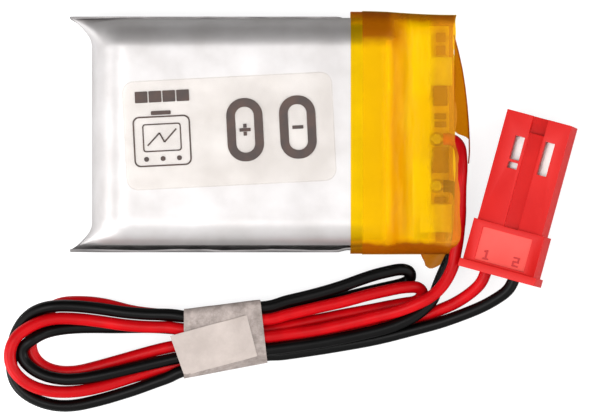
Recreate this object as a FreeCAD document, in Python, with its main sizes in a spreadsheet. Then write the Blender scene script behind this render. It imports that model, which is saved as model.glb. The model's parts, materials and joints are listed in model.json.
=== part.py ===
import FreeCAD, Part
import Sketcher
import math
import os
from FreeCAD import Placement, Rotation, Vector

# Two-wire lithium polymer pack: one soft-pouch cell, a taped protection board,
# a folded hank of red and black lead under a paper band, and a two-way socket plug.
# Millimetres. The origin is the middle of the cell's underside, +Z is up,
# +X runs from the cell's folded end towards its terminal end, +Y is the back long side.

# Driving dimensions. Each becomes an alias in the spreadsheet.
DIM = dict(
    # cell pouch
    pouch_left=-14.8,         # folded end of the cell
    cup_length=26.4,
    cup_width=19.7,
    cup_base=0.13,            # underside of the formed half, on top of the flat half
    cup_height=4.87,
    cup_shoulder=2.4,
    cup_corner=2.5,
    film_wall=0.15,
    film_sheet=0.12,
    seal_outside=20.3,        # over both folded side seals
    seal_height=2.9,
    seal_length=26.8,
    seal_corner=0.3,
    squeeze_left=7.2,         # the tape starts just right of this
    squeeze_length=10.0,
    squeeze_deep=0.02,
    terrace_left=12.0,
    terrace_length=3.9,
    terrace_width=19.2,
    terrace_lift=0.35,
    terrace_lap=0.1,          # overlap of each terrace sheet with its half of the pouch
    slot_length=1.0,
    flange_length=4.4,
    ear_reach=16.7,
    # electrode roll
    roll_left=-12.85,
    roll_middle=2.45,         # height of the roll's centre
    roll_half_straight=7.2,
    roll_start=0.30,
    roll_sheet=0.14,
    roll_step=0.16,
    anode_length=22.2,
    cathode_length=21.6,
    separator_length=23.0,
    # tabs and their sealing strips
    tab_width=2.4,
    tab_sheet=0.10,
    tab_inside=9.6,
    tab_outside=16.08,
    tab_low=0.18,
    tab_high=1.42,
    tab_return=13.3,
    tab_bevel=0.06,
    tab_positive_y=5.4,
    tab_negative_y=-7.2,
    seal_strip_width=3.6,
    seal_strip_length=1.8,
    seal_strip_tall=0.20,
    seal_strip_x=12.7,
    seal_strip_z=0.135,
    seal_slot_width=2.44,
    seal_slot_tall=0.13,
    seal_slot_drop=0.005,     # slot centre below the strip's mid height
    # protection board
    paper_x=13.95,
    paper_z=0.49,
    paper_sheet=0.10,
    paper_long=18.6,
    paper_wide=3.7,
    board_x=14.05,
    board_z=0.61,
    board_sheet=0.60,
    board_long=18.5,
    board_wide=3.5,
    part_z=1.23,              # seat of every part on the board
    link_wide=1.6,
    link_long=5.1,
    link_sheet=0.17,
    link_x=13.45,
    link_positive_y=6.0,
    link_negative_y=-4.65,
    chip_wide=1.3,
    chip_long=2.2,
    chip_tall=0.75,
    chip_x=15.05,
    chip_y=-2.2,
    chip_lead_pitch=0.55,
    guard_wide=1.2,
    guard_long=1.7,
    guard_tall=0.65,
    guard_x=15.05,
    guard_y=3.3,
    guard_lead_pitch=0.5,
    block_lift=0.08,          # underside of both moulded blocks above their seat
    block_lead_tall=0.2,
    solder_base=0.62,         # radii of each mound
    solder_top=0.42,
    solder_tall=0.85,
    solder_x=14.75,
    solder_positive_y=-0.406,
    solder_negative_y=-4.423,
    solder_gap=0.02,
    lead_start_z=1.82,
    # polyimide tape
    tape_sheet=0.05,
    tape_gap=0.01,
    tape_inner_left=7.3,
    tape_outer_left=8.35,
    tape_inner_right=16.2,
    tape_outer_right=16.3,
    tape_front=-10.17,
    tape_back=10.40,
    tape_low=-0.01,
    tape_top=5.03,
    # label
    label_long=18.0,
    label_wide=9.4,
    label_sheet=0.05,
    label_corner=1.0,
    label_x=-2.99,
    label_y=0.24,
    label_turn=2.9,
    ink_tall=0.02,
    # leads
    lead_outside=1.03,
    lead_bore=0.54,
    core_outside=0.48,
    # paper band
    band_sheet=0.10,
    band_low=0.03,
    band_inner_height=3.38,
    band_corner=0.35,
    # plug
    plug_x=20.456,
    plug_y=-12.287,
    plug_z=0.62,
    plug_turn=-15.3,
    plug_roll=-10.0,
    nose_wide=5.72,
    nose_low=0.25,
    nose_tall=3.95,
    nose_round=0.3,
    plug_length=14.0,
    collar_wide=6.3,
    collar_low=0.10,
    collar_tall=4.25,
    collar_length=4.3,
    lip_wide=6.8,
    lip_tall=4.5,
    lip_length=0.7,
    way_pitch=2.5,
    cavity_wide=1.86,
    cavity_tall=2.1,
    cavity_depth=13.0,
    way_z=2.2,                # height of both contact ways above the plug's base
    pin_radius=0.75,
    panel_wide=4.4,
    panel_long=2.9,
    panel_deep=0.15,
    channel_wide=1.25,
    channel_deep=0.25,
    channel_x=0.13,
    notch_long=2.9,
    window_wide=0.85,
    window_left_long=2.05,
    window_dot_long=0.55,
    window_right_long=2.9,
    socket_wide=1.66,
    socket_length=5.4,
    socket_start=6.9,
    socket_wall=0.8,          # closed end of the socket's bore
    socket_bore_radius=0.42,
    grip_radius=0.80,
    grip_bore_radius=0.545,
    grip_length=1.3,
    grip_start=2.3,
    crimp_radius=0.64,
    crimp_bore_radius=0.26,
    crimp_length=1.4,
    crimp_start=4.2,
    spine_wide=0.9,
    spine_tall=0.22,
    spine_start=2.3,
    spine_length=5.0,
)

# Share of a radius between a rounded corner's square corner lines and its arc's middle
PINCH = 1 - math.sqrt(0.5)

doc = FreeCAD.newDocument("lipo_pack")
sheet = doc.addObject("Spreadsheet::Sheet", "Dims")
for row, (alias, value) in enumerate(DIM.items(), 1):
    sheet.set("A%d" % row, alias)
    sheet.set("B%d" % row, str(value))
    sheet.setAlias("B%d" % row, alias)
doc.recompute()

NODES = []      # objects written to file, one each


# =====================================================================
# Helpers: document objects
# =====================================================================
def keep(node):
    NODES.append(node)
    return node


def shape_node(label, shape):
    node = doc.addObject("Part::Feature", label)
    node.Shape = shape
    return keep(node)


def compound_node(label, parts):
    node = doc.addObject("Part::Compound", label)
    node.Links = parts
    return keep(node)


def bind_base(target, prefix, x=None, y=None, z=None):
    for axis, text in (("x", x), ("y", y), ("z", z)):
        if text is not None:
            target.setExpression("%s.Base.%s" % (prefix, axis), text)


def new_body(label, x="0 mm", y="0 mm", z="0 mm"):
    body = keep(doc.addObject("PartDesign::Body", label))
    bind_base(body, "Placement", x, y, z)
    return body


def sketch(body, name, role="XY_Plane", x=None, y=None, z=None):
    # XZ sketches face -Y, so a negative z offset moves them towards +Y
    outline = body.newObject("Sketcher::SketchObject", name)
    plane = next(item for item in body.Origin.OriginFeatures if item.Role == role)
    outline.AttachmentSupport = (plane, [""])
    outline.MapMode = "FlatFace"
    bind_base(outline, "AttachmentOffset", x, y, z)
    return outline


def start_size(text):
    # a sketch's first size, before its bound constraint is solved
    return DIM.get(text.split(".")[-1], 1.0)


def polygon(outline, points):
    count = len(points)
    for i in range(count):
        start, end = Vector(*points[i]), Vector(*points[(i + 1) % count])
        outline.addGeometry(Part.LineSegment(start, end), False)
    for i in range(count):
        outline.addConstraint(Sketcher.Constraint("Coincident", i, 2, (i + 1) % count, 1))
    return outline


def rect(outline, wide, tall):
    # rectangle centred on the sketch's origin, both sides bound to expressions
    a, b = start_size(wide) / 2.0, start_size(tall) / 2.0
    polygon(outline, [(-a, -b), (a, -b), (a, b), (-a, b)])
    for kind, line in (("Horizontal", 0), ("Horizontal", 2), ("Vertical", 1), ("Vertical", 3)):
        outline.addConstraint(Sketcher.Constraint(kind, line))
    outline.addConstraint(Sketcher.Constraint("Symmetric", 0, 1, 2, 1, -1, 1))
    for kind, line, size, text in (("DistanceX", 0, 2 * a, wide), ("DistanceY", 1, 2 * b, tall)):
        index = outline.addConstraint(Sketcher.Constraint(kind, line, 1, line, 2, size))
        outline.setExpression("Constraints[%d]" % index, text)
    return outline


def circle(outline, radius):
    size = start_size(radius)
    outline.addGeometry(Part.Circle(Vector(0, 0, 0), Vector(0, 0, 1), size), False)
    outline.addConstraint(Sketcher.Constraint("Coincident", 0, 3, -1, 1))
    index = outline.addConstraint(Sketcher.Constraint("Radius", 0, size))
    outline.setExpression("Constraints[%d]" % index, radius)
    return outline


def extrusion(kind, body, outline, length, name, back):
    feature = body.newObject("PartDesign::" + kind, name)
    feature.Profile = outline
    feature.setExpression("Length", length)
    feature.Reversed = back
    return feature


def pad(body, outline, length, name, back=False):
    # along the sketch's normal, or against it when back is set
    return extrusion("Pad", body, outline, length, name, back)


def pocket(body, outline, length, name, back=False):
    # against the sketch's normal, or along it when back is set
    return extrusion("Pocket", body, outline, length, name, back)


def edges_where(shape, test):
    return ["Edge%d" % i for i, edge in enumerate(shape.Edges, 1) if test(edge)]


def edges_along(shape, axis):
    return edges_where(shape, lambda edge: abs(edge.tangentAt(edge.FirstParameter).dot(axis)) > 0.9)


def fillet(body, name, base, edges, radius):
    feature = body.newObject("PartDesign::Fillet", name)
    feature.Base = (base, edges)
    feature.setExpression("Radius", radius)
    return feature


def box_body(label, wide, long, tall, x, y, z):
    body = new_body(label, x, y, z)
    pad(body, rect(sketch(body, label + "_outline"), wide, long), tall, label + "_pad")


# =====================================================================
# Helpers: plain geometry
# =====================================================================
def segment(points):
    # a line through two points, or an arc through three
    return Part.LineSegment(*points) if len(points) == 2 else Part.Arc(*points)


def rounded_section(place, near, far, low, high, low_round, high_round):
    # upright rounded rectangle; place turns (distance across, height) into a point
    low_mid, high_mid = low_round * PINCH, high_round * PINCH
    runs = [
        [(near + low_round, low), (far - low_round, low)],
        [(far - low_round, low), (far - low_mid, low + low_mid), (far, low + low_round)],
        [(far, low + low_round), (far, high - high_round)],
        [(far, high - high_round), (far - high_mid, high - high_mid), (far - high_round, high)],
        [(far - high_round, high), (near + high_round, high)],
        [(near + high_round, high), (near + high_mid, high - high_mid), (near, high - high_round)],
        [(near, high - high_round), (near, low + low_round)],
        [(near, low + low_round), (near + low_mid, low + low_mid), (near + low_round, low)],
    ]
    return Part.Wire([segment([place(*point) for point in run]).toShape() for run in runs])


def slab(points, z, tall):
    # upright prism on a plan outline
    loop = [Vector(x, y, z) for x, y in points + points[:1]]
    return Part.Face(Part.makePolygon(loop)).extrude(Vector(0, 0, tall))


# =====================================================================
# Cell pouch
# =====================================================================
SIDES = ((1, "back"), (-1, "front"))
SEAL_HALF = DIM["seal_outside"] / 2.0
EAR_ROOT = DIM["pouch_left"] + 0.1
EAR_TIP = -DIM["ear_reach"]

# Folded side flange of the cup: distance out from the cup's side, height
CUP_FLANGE = [(-0.10, 0.0), (0.04, 0.0), (0.16, 0.30), (0.16, 2.70),
              (0.05, 2.70), (0.05, 0.30), (0.0, 0.11), (-0.10, 0.11)]


def mirrored(points, side):
    return [(x, side * y) for x, y in points]


def channel_line(half_width, base, radius):
    # open channel from its front lip, under the cell, to its back lip
    mid, top = radius * PINCH, DIM["seal_height"]
    return [Vector(y, z, 0) for y, z in (
        (-half_width, top), (-half_width, base + radius), (-half_width + mid, base + mid),
        (-half_width + radius, base), (half_width - radius, base),
        (half_width - mid, base + mid), (half_width, base + radius), (half_width, top))]


def make_cover():
    # flat half with both side seals folded up
    cover = new_body("pouch_cover")
    film = DIM["film_sheet"]
    outer = channel_line(SEAL_HALF, 0.0, DIM["seal_corner"])
    inner = channel_line(SEAL_HALF - film, film, DIM["seal_corner"] - film)[::-1]
    outline = sketch(cover, "seal_channel", "YZ_Plane", z="Dims.pouch_left")
    for line, other in ((outer, inner), (inner, outer)):
        for run in (line[0:2], line[1:4], line[3:5], line[4:7], line[6:8], [line[7], other[0]]):
            outline.addGeometry(segment(run), False)
    pad(cover, outline, "Dims.seal_length", "seal_channel_pad")

    outline = sketch(cover, "terrace_sheet",
                     x="Dims.terrace_left + (Dims.terrace_length - Dims.terrace_lap) / 2")
    rect(outline, "Dims.terrace_length + Dims.terrace_lap", "Dims.terrace_width")
    pad(cover, outline, "Dims.film_sheet", "terrace_sheet_pad")

    # film squeezed thinner from below, under the tape
    outline = sketch(cover, "squeezed_strip", x="Dims.squeeze_left + Dims.squeeze_length / 2")
    rect(outline, "Dims.squeeze_length", "Dims.seal_outside + 1")
    pocket(cover, outline, "Dims.squeeze_deep", "squeezed_strip_cut", back=True)

    # folded corners at the left end: a thin web and a standing ear on each side
    edge = SEAL_HALF - 0.02
    web = [(EAR_ROOT, edge), (EAR_TIP, edge), (EAR_TIP + 0.75, edge - 0.62),
           (EAR_TIP + 1.45, edge - 1.25), (EAR_TIP + 1.95, edge - 1.95), (EAR_ROOT, edge - 2.7)]
    top = DIM["seal_height"]
    ear = [(EAR_ROOT, 0.0), (EAR_ROOT, top), (EAR_ROOT - 1.2, top - 0.35),
           (EAR_TIP + 0.1, 1.5), (EAR_TIP, 1.0), (EAR_TIP + 0.3, 0.0)]
    for side, tag in SIDES:
        outline = polygon(sketch(cover, "ear_web_" + tag), mirrored(web, side))
        pad(cover, outline, "Dims.film_sheet", "ear_web_pad_" + tag)
        offset = ("-" if side > 0 else "") + "Dims.seal_outside / 2"
        outline = polygon(sketch(cover, "ear_wall_" + tag, "XZ_Plane", z=offset), ear)
        pad(cover, outline, "Dims.film_sheet", "ear_wall_pad_" + tag, back=(side < 0))


def make_cup():
    # formed half: a rounded box, hollow and open below
    cup = new_body("pouch_cup", z="Dims.cup_base")
    outline = sketch(cup, "cup_outline", x="Dims.pouch_left + Dims.cup_length / 2")
    rect(outline, "Dims.cup_length", "Dims.cup_width")
    block = pad(cup, outline, "Dims.cup_height", "cup_pad")
    doc.recompute()
    corners = fillet(cup, "cup_corners", block, edges_along(block.Shape, Vector(0, 0, 1)),
                     "Dims.cup_corner")
    doc.recompute()
    top = DIM["cup_height"]
    top_edges = edges_where(
        corners.Shape, lambda edge: min(v.Point.z for v in edge.Vertexes) > top - 0.01)
    shoulders = fillet(cup, "cup_shoulders", corners, top_edges, "Dims.cup_shoulder")
    doc.recompute()
    base_face = next(i for i, face in enumerate(shoulders.Shape.Faces, 1)
                     if face.BoundBox.ZMax < 0.001)
    wall = cup.newObject("PartDesign::Thickness", "cup_wall")
    wall.Base = (shoulders, ["Face%d" % base_face])
    wall.Mode = 0
    wall.Join = 0
    wall.Reversed = True
    wall.setExpression("Value", "Dims.film_wall")
    doc.recompute()

    # flange beside the cup, folded up inside the cover's seal, and the ear's upper web
    half_width = DIM["cup_width"] / 2.0
    web = [(EAR_ROOT + 0.02, SEAL_HALF - 0.2), (EAR_TIP + 0.35, SEAL_HALF - 0.2),
           (EAR_TIP + 0.85, SEAL_HALF - 0.62), (EAR_TIP + 1.55, SEAL_HALF - 1.25),
           (EAR_TIP + 2.05, SEAL_HALF - 1.95), (EAR_ROOT + 0.02, SEAL_HALF - 2.9),
           (EAR_ROOT + 0.9, SEAL_HALF - 2.4), (EAR_ROOT + 1.7, SEAL_HALF - 1.3)]
    for side, tag in SIDES:
        outline = sketch(cup, "flange_foot_" + tag, "YZ_Plane",
                         z="Dims.pouch_left + Dims.cup_corner")
        polygon(outline, [(side * (half_width + out), z) for out, z in CUP_FLANGE])
        pad(cup, outline, "Dims.cup_length - 2 * Dims.cup_corner", "flange_pad_" + tag)
        outline = polygon(sketch(cup, "ear_top_" + tag), mirrored(web, side))
        pad(cup, outline, "Dims.film_sheet", "ear_top_pad_" + tag)

    # slot in the end wall for the tabs, then the terrace flange above it
    outline = sketch(cup, "tab_slot", x="Dims.pouch_left + Dims.cup_length")
    rect(outline, "Dims.slot_length", "Dims.cup_width - Dims.cup_corner - 0.2")
    pocket(cup, outline, "Dims.terrace_lift - Dims.cup_base", "tab_slot_cut", back=True)
    outline = sketch(cup, "terrace_flange", x="Dims.pouch_left + Dims.cup_length"
                     " + Dims.flange_length / 2 - Dims.terrace_lap",
                     z="Dims.terrace_lift - Dims.cup_base")
    rect(outline, "Dims.flange_length", "Dims.cup_width - 2 * Dims.cup_corner - 0.1")
    pad(cup, outline, "Dims.film_sheet", "terrace_flange_pad")


make_cover()
make_cup()

# =====================================================================
# Electrode roll: four sheets wound together, flattened
# =====================================================================
HALF_TURNS = 5


def spiral_runs(radius, offset, trim):
    # one face of a sheet: half turns of growing radius about two fixed centres,
    # joined by straight runs
    half = DIM["roll_half_straight"]
    turn_step = 4 * DIM["roll_step"]
    r = radius + offset
    runs = [[(-half + 1.0, r), (half, r)]]
    for k in range(HALF_TURNS):
        if k % 2 == 0:      # round the back centre
            r = radius + offset
            end = -half if k < HALF_TURNS - 1 else -half + 0.5 + trim
            runs.append([(half, r), (half + r, 0), (half, -r)])
            runs.append([(half, -r), (end, -r)])
        else:               # round the front centre, half a step higher
            z = turn_step / 2.0
            r = radius + z + offset
            runs.append([(-half, z - r), (-half - r, z), (-half, z + r)])
            runs.append([(-half, z + r), (half, z + r)])
            radius += turn_step
    return [[Vector(0, y, z) for y, z in run] for run in runs]


def make_wound_sheet(label, layer, length, trim=0.0):
    radius = DIM["roll_start"] + layer * DIM["roll_step"]
    outer = spiral_runs(radius, DIM["roll_sheet"] / 2.0, trim)
    inner = spiral_runs(radius, -DIM["roll_sheet"] / 2.0, trim)
    runs = outer + [[outer[-1][1], inner[-1][1]]]
    runs += [run[::-1] for run in reversed(inner)] + [[inner[0][0], outer[0][0]]]
    face = Part.Face(Part.Wire([segment(run).toShape() for run in runs]))
    node = shape_node(label, face.extrude(Vector(length, 0, 0)))
    left = DIM["roll_left"] + (DIM["separator_length"] - length) / 2.0
    node.Placement = Placement(Vector(left, 0, DIM["roll_middle"]), Rotation())


make_wound_sheet("anode_foil", 0, DIM["anode_length"])
make_wound_sheet("separator_inner", 1, DIM["separator_length"])
make_wound_sheet("cathode_foil", 2, DIM["cathode_length"], trim=0.4)
make_wound_sheet("separator_outer", 3, DIM["separator_length"])


# =====================================================================
# Tabs, their sealing strips, insulating paper, protection board
# =====================================================================
def make_tab(tag, y):
    # strip leaving the cell low down and folded back over the board
    tab = new_body("cell_tab_" + tag, y=y)
    film, bevel = DIM["tab_sheet"], DIM["tab_bevel"]
    inside, outside, end = DIM["tab_inside"], DIM["tab_outside"], DIM["tab_return"]
    low, high = DIM["tab_low"], DIM["tab_high"]
    outline = sketch(tab, "tab_line_" + tag, "XZ_Plane", z="-Dims.tab_width / 2")
    polygon(outline, [
        (inside, low), (outside - bevel, low), (outside, low + bevel),
        (outside, high + film - bevel), (outside - bevel, high + film), (end, high + film),
        (end, high), (outside - film, high), (outside - film, low + film), (inside, low + film)])
    pad(tab, outline, "Dims.tab_width", "tab_pad_" + tag)


def make_tab_seal(tag, y):
    strip = new_body("tab_seal_" + tag, "Dims.seal_strip_x", y, "Dims.seal_strip_z")
    outline = sketch(strip, "strip_" + tag)
    rect(outline, "Dims.seal_strip_length", "Dims.seal_strip_width")
    pad(strip, outline, "Dims.seal_strip_tall", "strip_pad_" + tag)
    outline = sketch(strip, "strip_slot_" + tag, "YZ_Plane",
                     y="Dims.seal_strip_tall / 2 - Dims.seal_slot_drop",
                     z="-Dims.seal_strip_length")
    rect(outline, "Dims.seal_slot_width", "Dims.seal_slot_tall")
    pocket(strip, outline, "Dims.seal_strip_length * 2", "strip_slot_cut_" + tag, back=True)


for tag in ("positive", "negative"):
    tab_y = "Dims.tab_%s_y" % tag
    make_tab(tag, tab_y)
    make_tab_seal(tag, tab_y)
    box_body("cell_link_" + tag, "Dims.link_wide", "Dims.link_long", "Dims.link_sheet",
             "Dims.link_x", "Dims.link_%s_y" % tag, "Dims.part_z")

box_body("insulating_paper", "Dims.paper_wide", "Dims.paper_long", "Dims.paper_sheet",
         "Dims.paper_x", "0 mm", "Dims.paper_z")
box_body("protection_board", "Dims.board_wide", "Dims.board_long", "Dims.board_sheet",
         "Dims.board_x", "0 mm", "Dims.board_z")


def make_chip(label, prefix, leads_per_side):
    # moulded block with a row of leads under each long side
    chip = new_body(label, "Dims.%s_x" % prefix, "Dims.%s_y" % prefix, "Dims.part_z")
    outline = sketch(chip, label + "_outline", z="Dims.block_lift")
    rect(outline, "Dims.%s_wide" % prefix, "Dims.%s_long" % prefix)
    pad(chip, outline, "Dims.%s_tall - Dims.block_lift" % prefix, label + "_pad")
    lead_inset, half_long, half_wide = 0.08, 0.14, 0.11
    for side in (1, -1):
        x = side * (DIM[prefix + "_wide"] / 2.0 - lead_inset)
        for k in range(leads_per_side):
            y = (k - (leads_per_side - 1) / 2.0) * DIM[prefix + "_lead_pitch"]
            outline = sketch(chip, "%s_lead_%d_%d" % (label, side, k))
            polygon(outline, [(x - half_long, y - half_wide), (x + half_long, y - half_wide),
                              (x + half_long, y + half_wide), (x - half_long, y + half_wide)])
            pad(chip, outline, "Dims.block_lead_tall", "%s_lead_pad_%d_%d" % (label, side, k))


def make_blocks(label, sizes, centres):
    # identical small parts as separate solids of one node
    parts = []
    for i, (x, y) in enumerate(centres):
        block = doc.addObject("Part::Box", "%s_%d" % (label, i))
        block.Length, block.Width, block.Height = sizes
        corner = Vector(x - sizes[0] / 2.0, y - sizes[1] / 2.0, DIM["part_z"])
        block.Placement = Placement(corner, Rotation())
        parts.append(block)
    compound_node(label, parts)


def make_solder_joint(tag):
    # mound round the bare end of a lead
    mound = doc.addObject("Part::Cone", "solder_mound_" + tag)
    mound.setExpression("Radius1", "Dims.solder_base")
    mound.setExpression("Radius2", "Dims.solder_top")
    mound.setExpression("Height", "Dims.solder_tall")
    bind_base(mound, "Placement", "Dims.solder_x", "Dims.solder_%s_y" % tag, "Dims.part_z")
    bore = doc.addObject("Part::Cylinder", "solder_bore_" + tag)
    bore.setExpression("Radius", "Dims.core_outside / 2 + Dims.solder_gap")
    bore.Height = 3.0
    bore_start = Vector(13.4, DIM["solder_%s_y" % tag], DIM["lead_start_z"])
    bore.Placement = Placement(bore_start, Rotation(Vector(0, 1, 0), 90))
    joint = doc.addObject("Part::Cut", "solder_" + tag)
    joint.Base, joint.Tool = mound, bore
    return joint


make_chip("switch_chip", "chip", 4)
make_chip("guard_chip", "guard", 3)
make_blocks("chip_resistors", (1.0, 0.5, 0.35),
            [(15.05, 1.55), (15.05, 0.85), (15.05, -5.6), (13.4, -8.75)])
make_blocks("chip_capacitors", (0.8, 0.8, 0.6), [(15.1, 8.3), (15.1, 7.2), (15.05, -8.82)])
compound_node("solder_joints", [make_solder_joint(tag) for tag in ("positive", "negative")])

# =====================================================================
# Polyimide tape: two turns round the terminal end
# =====================================================================
# Inside face of the tape along the cell, then over the board:
# x, height of the top, radius of the top corners, inset of the back side
TAPE_RUN = [
    (DIM["tape_inner_left"], DIM["tape_top"], 2.0, 0.0), (10.0, DIM["tape_top"], 2.0, 0.0),
    (11.0, 4.86, 1.8, 0.02), (11.75, 4.12, 1.5, 0.05), (12.4, 3.15, 0.9, 0.10),
    (13.1, 2.66, 0.7, 0.14), (DIM["tape_inner_right"], 2.66, 0.7, 0.22)]
TAPE_LOW_ROUND = 0.32

# Plan of the tape's loose end, curling out past the terminal end: x, y
TAPE_CURL = [(16.28, 8.45), (16.75, 6.6), (17.2, 4.2), (17.5, 1.6),
             (17.62, 0.2), (17.64, -1.0), (17.62, -2.3)]
CURL_LOW = 0.9

# Plan of the small folded tag sticking out at the front edge: x, y
TAPE_TAG = [(13.3, -10.25), (13.6, -10.6), (13.85, -11.3), (14.35, -11.58),
            (15.05, -11.25), (15.5, -10.8), (15.6, -10.25)]
TAG_Z = 0.45


def tape_at(x):
    # top, corner radius and back inset at x, straight between stations
    for start, end in zip(TAPE_RUN, TAPE_RUN[1:]):
        if x <= end[0] + 1e-9:
            share = (x - start[0]) / (end[0] - start[0])
            return [a + (b - a) * share for a, b in zip(start[1:], end[1:])]
    return TAPE_RUN[-1][1:]


def tape_section(x, offset):
    top, top_round, inset = tape_at(x)
    return rounded_section(
        lambda y, z: Vector(x, y, z),
        DIM["tape_front"] - offset, DIM["tape_back"] + offset - inset,
        DIM["tape_low"] - offset, top + offset, TAPE_LOW_ROUND + offset, top_round + offset)


def tape_tube(left, right, offset):
    between = [row[0] for row in TAPE_RUN if left + 0.01 < row[0] < right - 0.01]
    stations = [left] + between + [right]
    outer, inner = [Part.makeLoft([tape_section(x, face) for x in stations], True, True)
                    for face in (offset + DIM["tape_sheet"], offset)]
    # notches in the open edge where both leads leave through the corner
    side_notch = Part.makeBox(1.4, 0.7, 2.5, Vector(15.2, -10.6, 0.7))
    edge_notch = Part.makeBox(0.6, 4.4, 1.2, Vector(15.95, -10.6, 2.0))
    return outer.cut(inner).cut([side_notch, edge_notch])


def ribbon(points, thick, low, high):
    # upright strip of even thickness along a plan line
    left, right = [], []
    for i, (x, y) in enumerate(points):
        before, after = points[max(i - 1, 0)], points[min(i + 1, len(points) - 1)]
        dx, dy = after[0] - before[0], after[1] - before[1]
        run = math.hypot(dx, dy)
        across_x, across_y = -dy / run * thick / 2, dx / run * thick / 2
        left.append((x + across_x, y + across_y))
        right.append((x - across_x, y - across_y))
    return slab(left + right[::-1], low, high - low)


def make_outer_tape():
    film = DIM["tape_sheet"]
    layer = film + DIM["tape_gap"]
    tube = tape_tube(DIM["tape_outer_left"], DIM["tape_outer_right"], layer)
    inner_right = DIM["tape_inner_right"]
    top = tape_at(inner_right)[0] + layer + film
    wall = ribbon(TAPE_CURL, film, CURL_LOW, top)
    roof_plan = [(inner_right, 8.45)] + TAPE_CURL[:5] + [(inner_right, 0.25)]
    roof = slab(roof_plan, top - film, film)
    folded_tag = slab(TAPE_TAG, TAG_Z, film)
    shape_node("tape_outer", tube.fuse([wall, roof, folded_tag]).removeSplitter())


shape_node("tape_inner", tape_tube(DIM["tape_inner_left"], DIM["tape_inner_right"], 0.0))
make_outer_tape()


# =====================================================================
# Label: clear film and raised ink
# =====================================================================
def make_label_film():
    label = new_body("label_film", "Dims.label_x", "Dims.label_y",
                     "Dims.cup_base + Dims.cup_height")
    label.Placement.Rotation = Rotation(Vector(0, 0, 1), DIM["label_turn"])
    label.setExpression("Placement.Rotation.Angle", "Dims.label_turn")
    outline = rect(sketch(label, "label_outline"), "Dims.label_long", "Dims.label_wide")
    film = pad(label, outline, "Dims.label_sheet", "label_pad")
    doc.recompute()
    fillet(label, "label_corners", film, edges_along(film.Shape, Vector(0, 0, 1)),
           "Dims.label_corner")


ink = []

# Bars of ink: centre x, centre y, size along x, size along y
LINE = 0.14
CELL_DRAWING = [
    (-5.55, 1.35, 5.0, LINE), (-5.55, -2.35, 5.0, LINE),    # long sides
    (-8.0, -0.5, LINE, 3.5), (-3.1, -0.5, LINE, 3.5),       # ends
    (-2.75, -0.5, 0.30, 1.3),                               # nub on the right end
    (-5.55, -0.5, LINE, 2.4)]                               # middle bar
PLUS_RING = (1.45, 0.55)
MINUS_RING = (5.85, 0.75)


def ink_box(x, y, wide, tall, name=None):
    bar = doc.addObject("Part::Box", name or "ink_%d" % len(ink))
    bar.Length, bar.Width = wide, tall
    bar.setExpression("Height", "Dims.ink_tall")
    bar.Placement = Placement(Vector(x - wide / 2.0, y - tall / 2.0, 0), Rotation())
    ink.append(bar)


def ink_ring(x, y, outer_radius, inner_radius):
    discs = []
    for name, radius in (("ring_out", outer_radius), ("ring_in", inner_radius)):
        disc = doc.addObject("Part::Cylinder", "%s_%d" % (name, len(ink)))
        disc.Radius = radius
        disc.setExpression("Height", "Dims.ink_tall")
        discs.append(disc)
    ring_cut = doc.addObject("Part::Cut", "ring_%d" % len(ink))
    ring_cut.Base, ring_cut.Tool = discs
    ring_cut.Placement = Placement(Vector(x, y, 0), Rotation())
    ink.append(ring_cut)


def make_label_print():
    # charge bar in four blocks, a cell outline below it, two rings with plus and minus
    for k in range(4):
        ink_box(-7.35 + k * 1.18, 3.25, 1.02, 0.95)
    for bar in CELL_DRAWING:
        ink_box(*bar)
    for centre in (PLUS_RING, MINUS_RING):
        ink_ring(*centre, 1.60, 0.95)
    stroke = 0.22
    for centre in (PLUS_RING, MINUS_RING):
        ink_box(*centre, 1.0, stroke)
    for name, shift in (("ink_upright_low", -0.32), ("ink_upright_high", 0.32)):
        ink_box(PLUS_RING[0], PLUS_RING[1] + shift, stroke, 0.36, name)
    label_print = compound_node("label_print", ink)
    film_top = DIM["cup_base"] + DIM["cup_height"] + DIM["label_sheet"]
    label_print.Placement = Placement(Vector(DIM["label_x"], DIM["label_y"], film_top),
                                      Rotation(Vector(0, 0, 1), DIM["label_turn"]))


make_label_film()
make_label_print()

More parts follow.
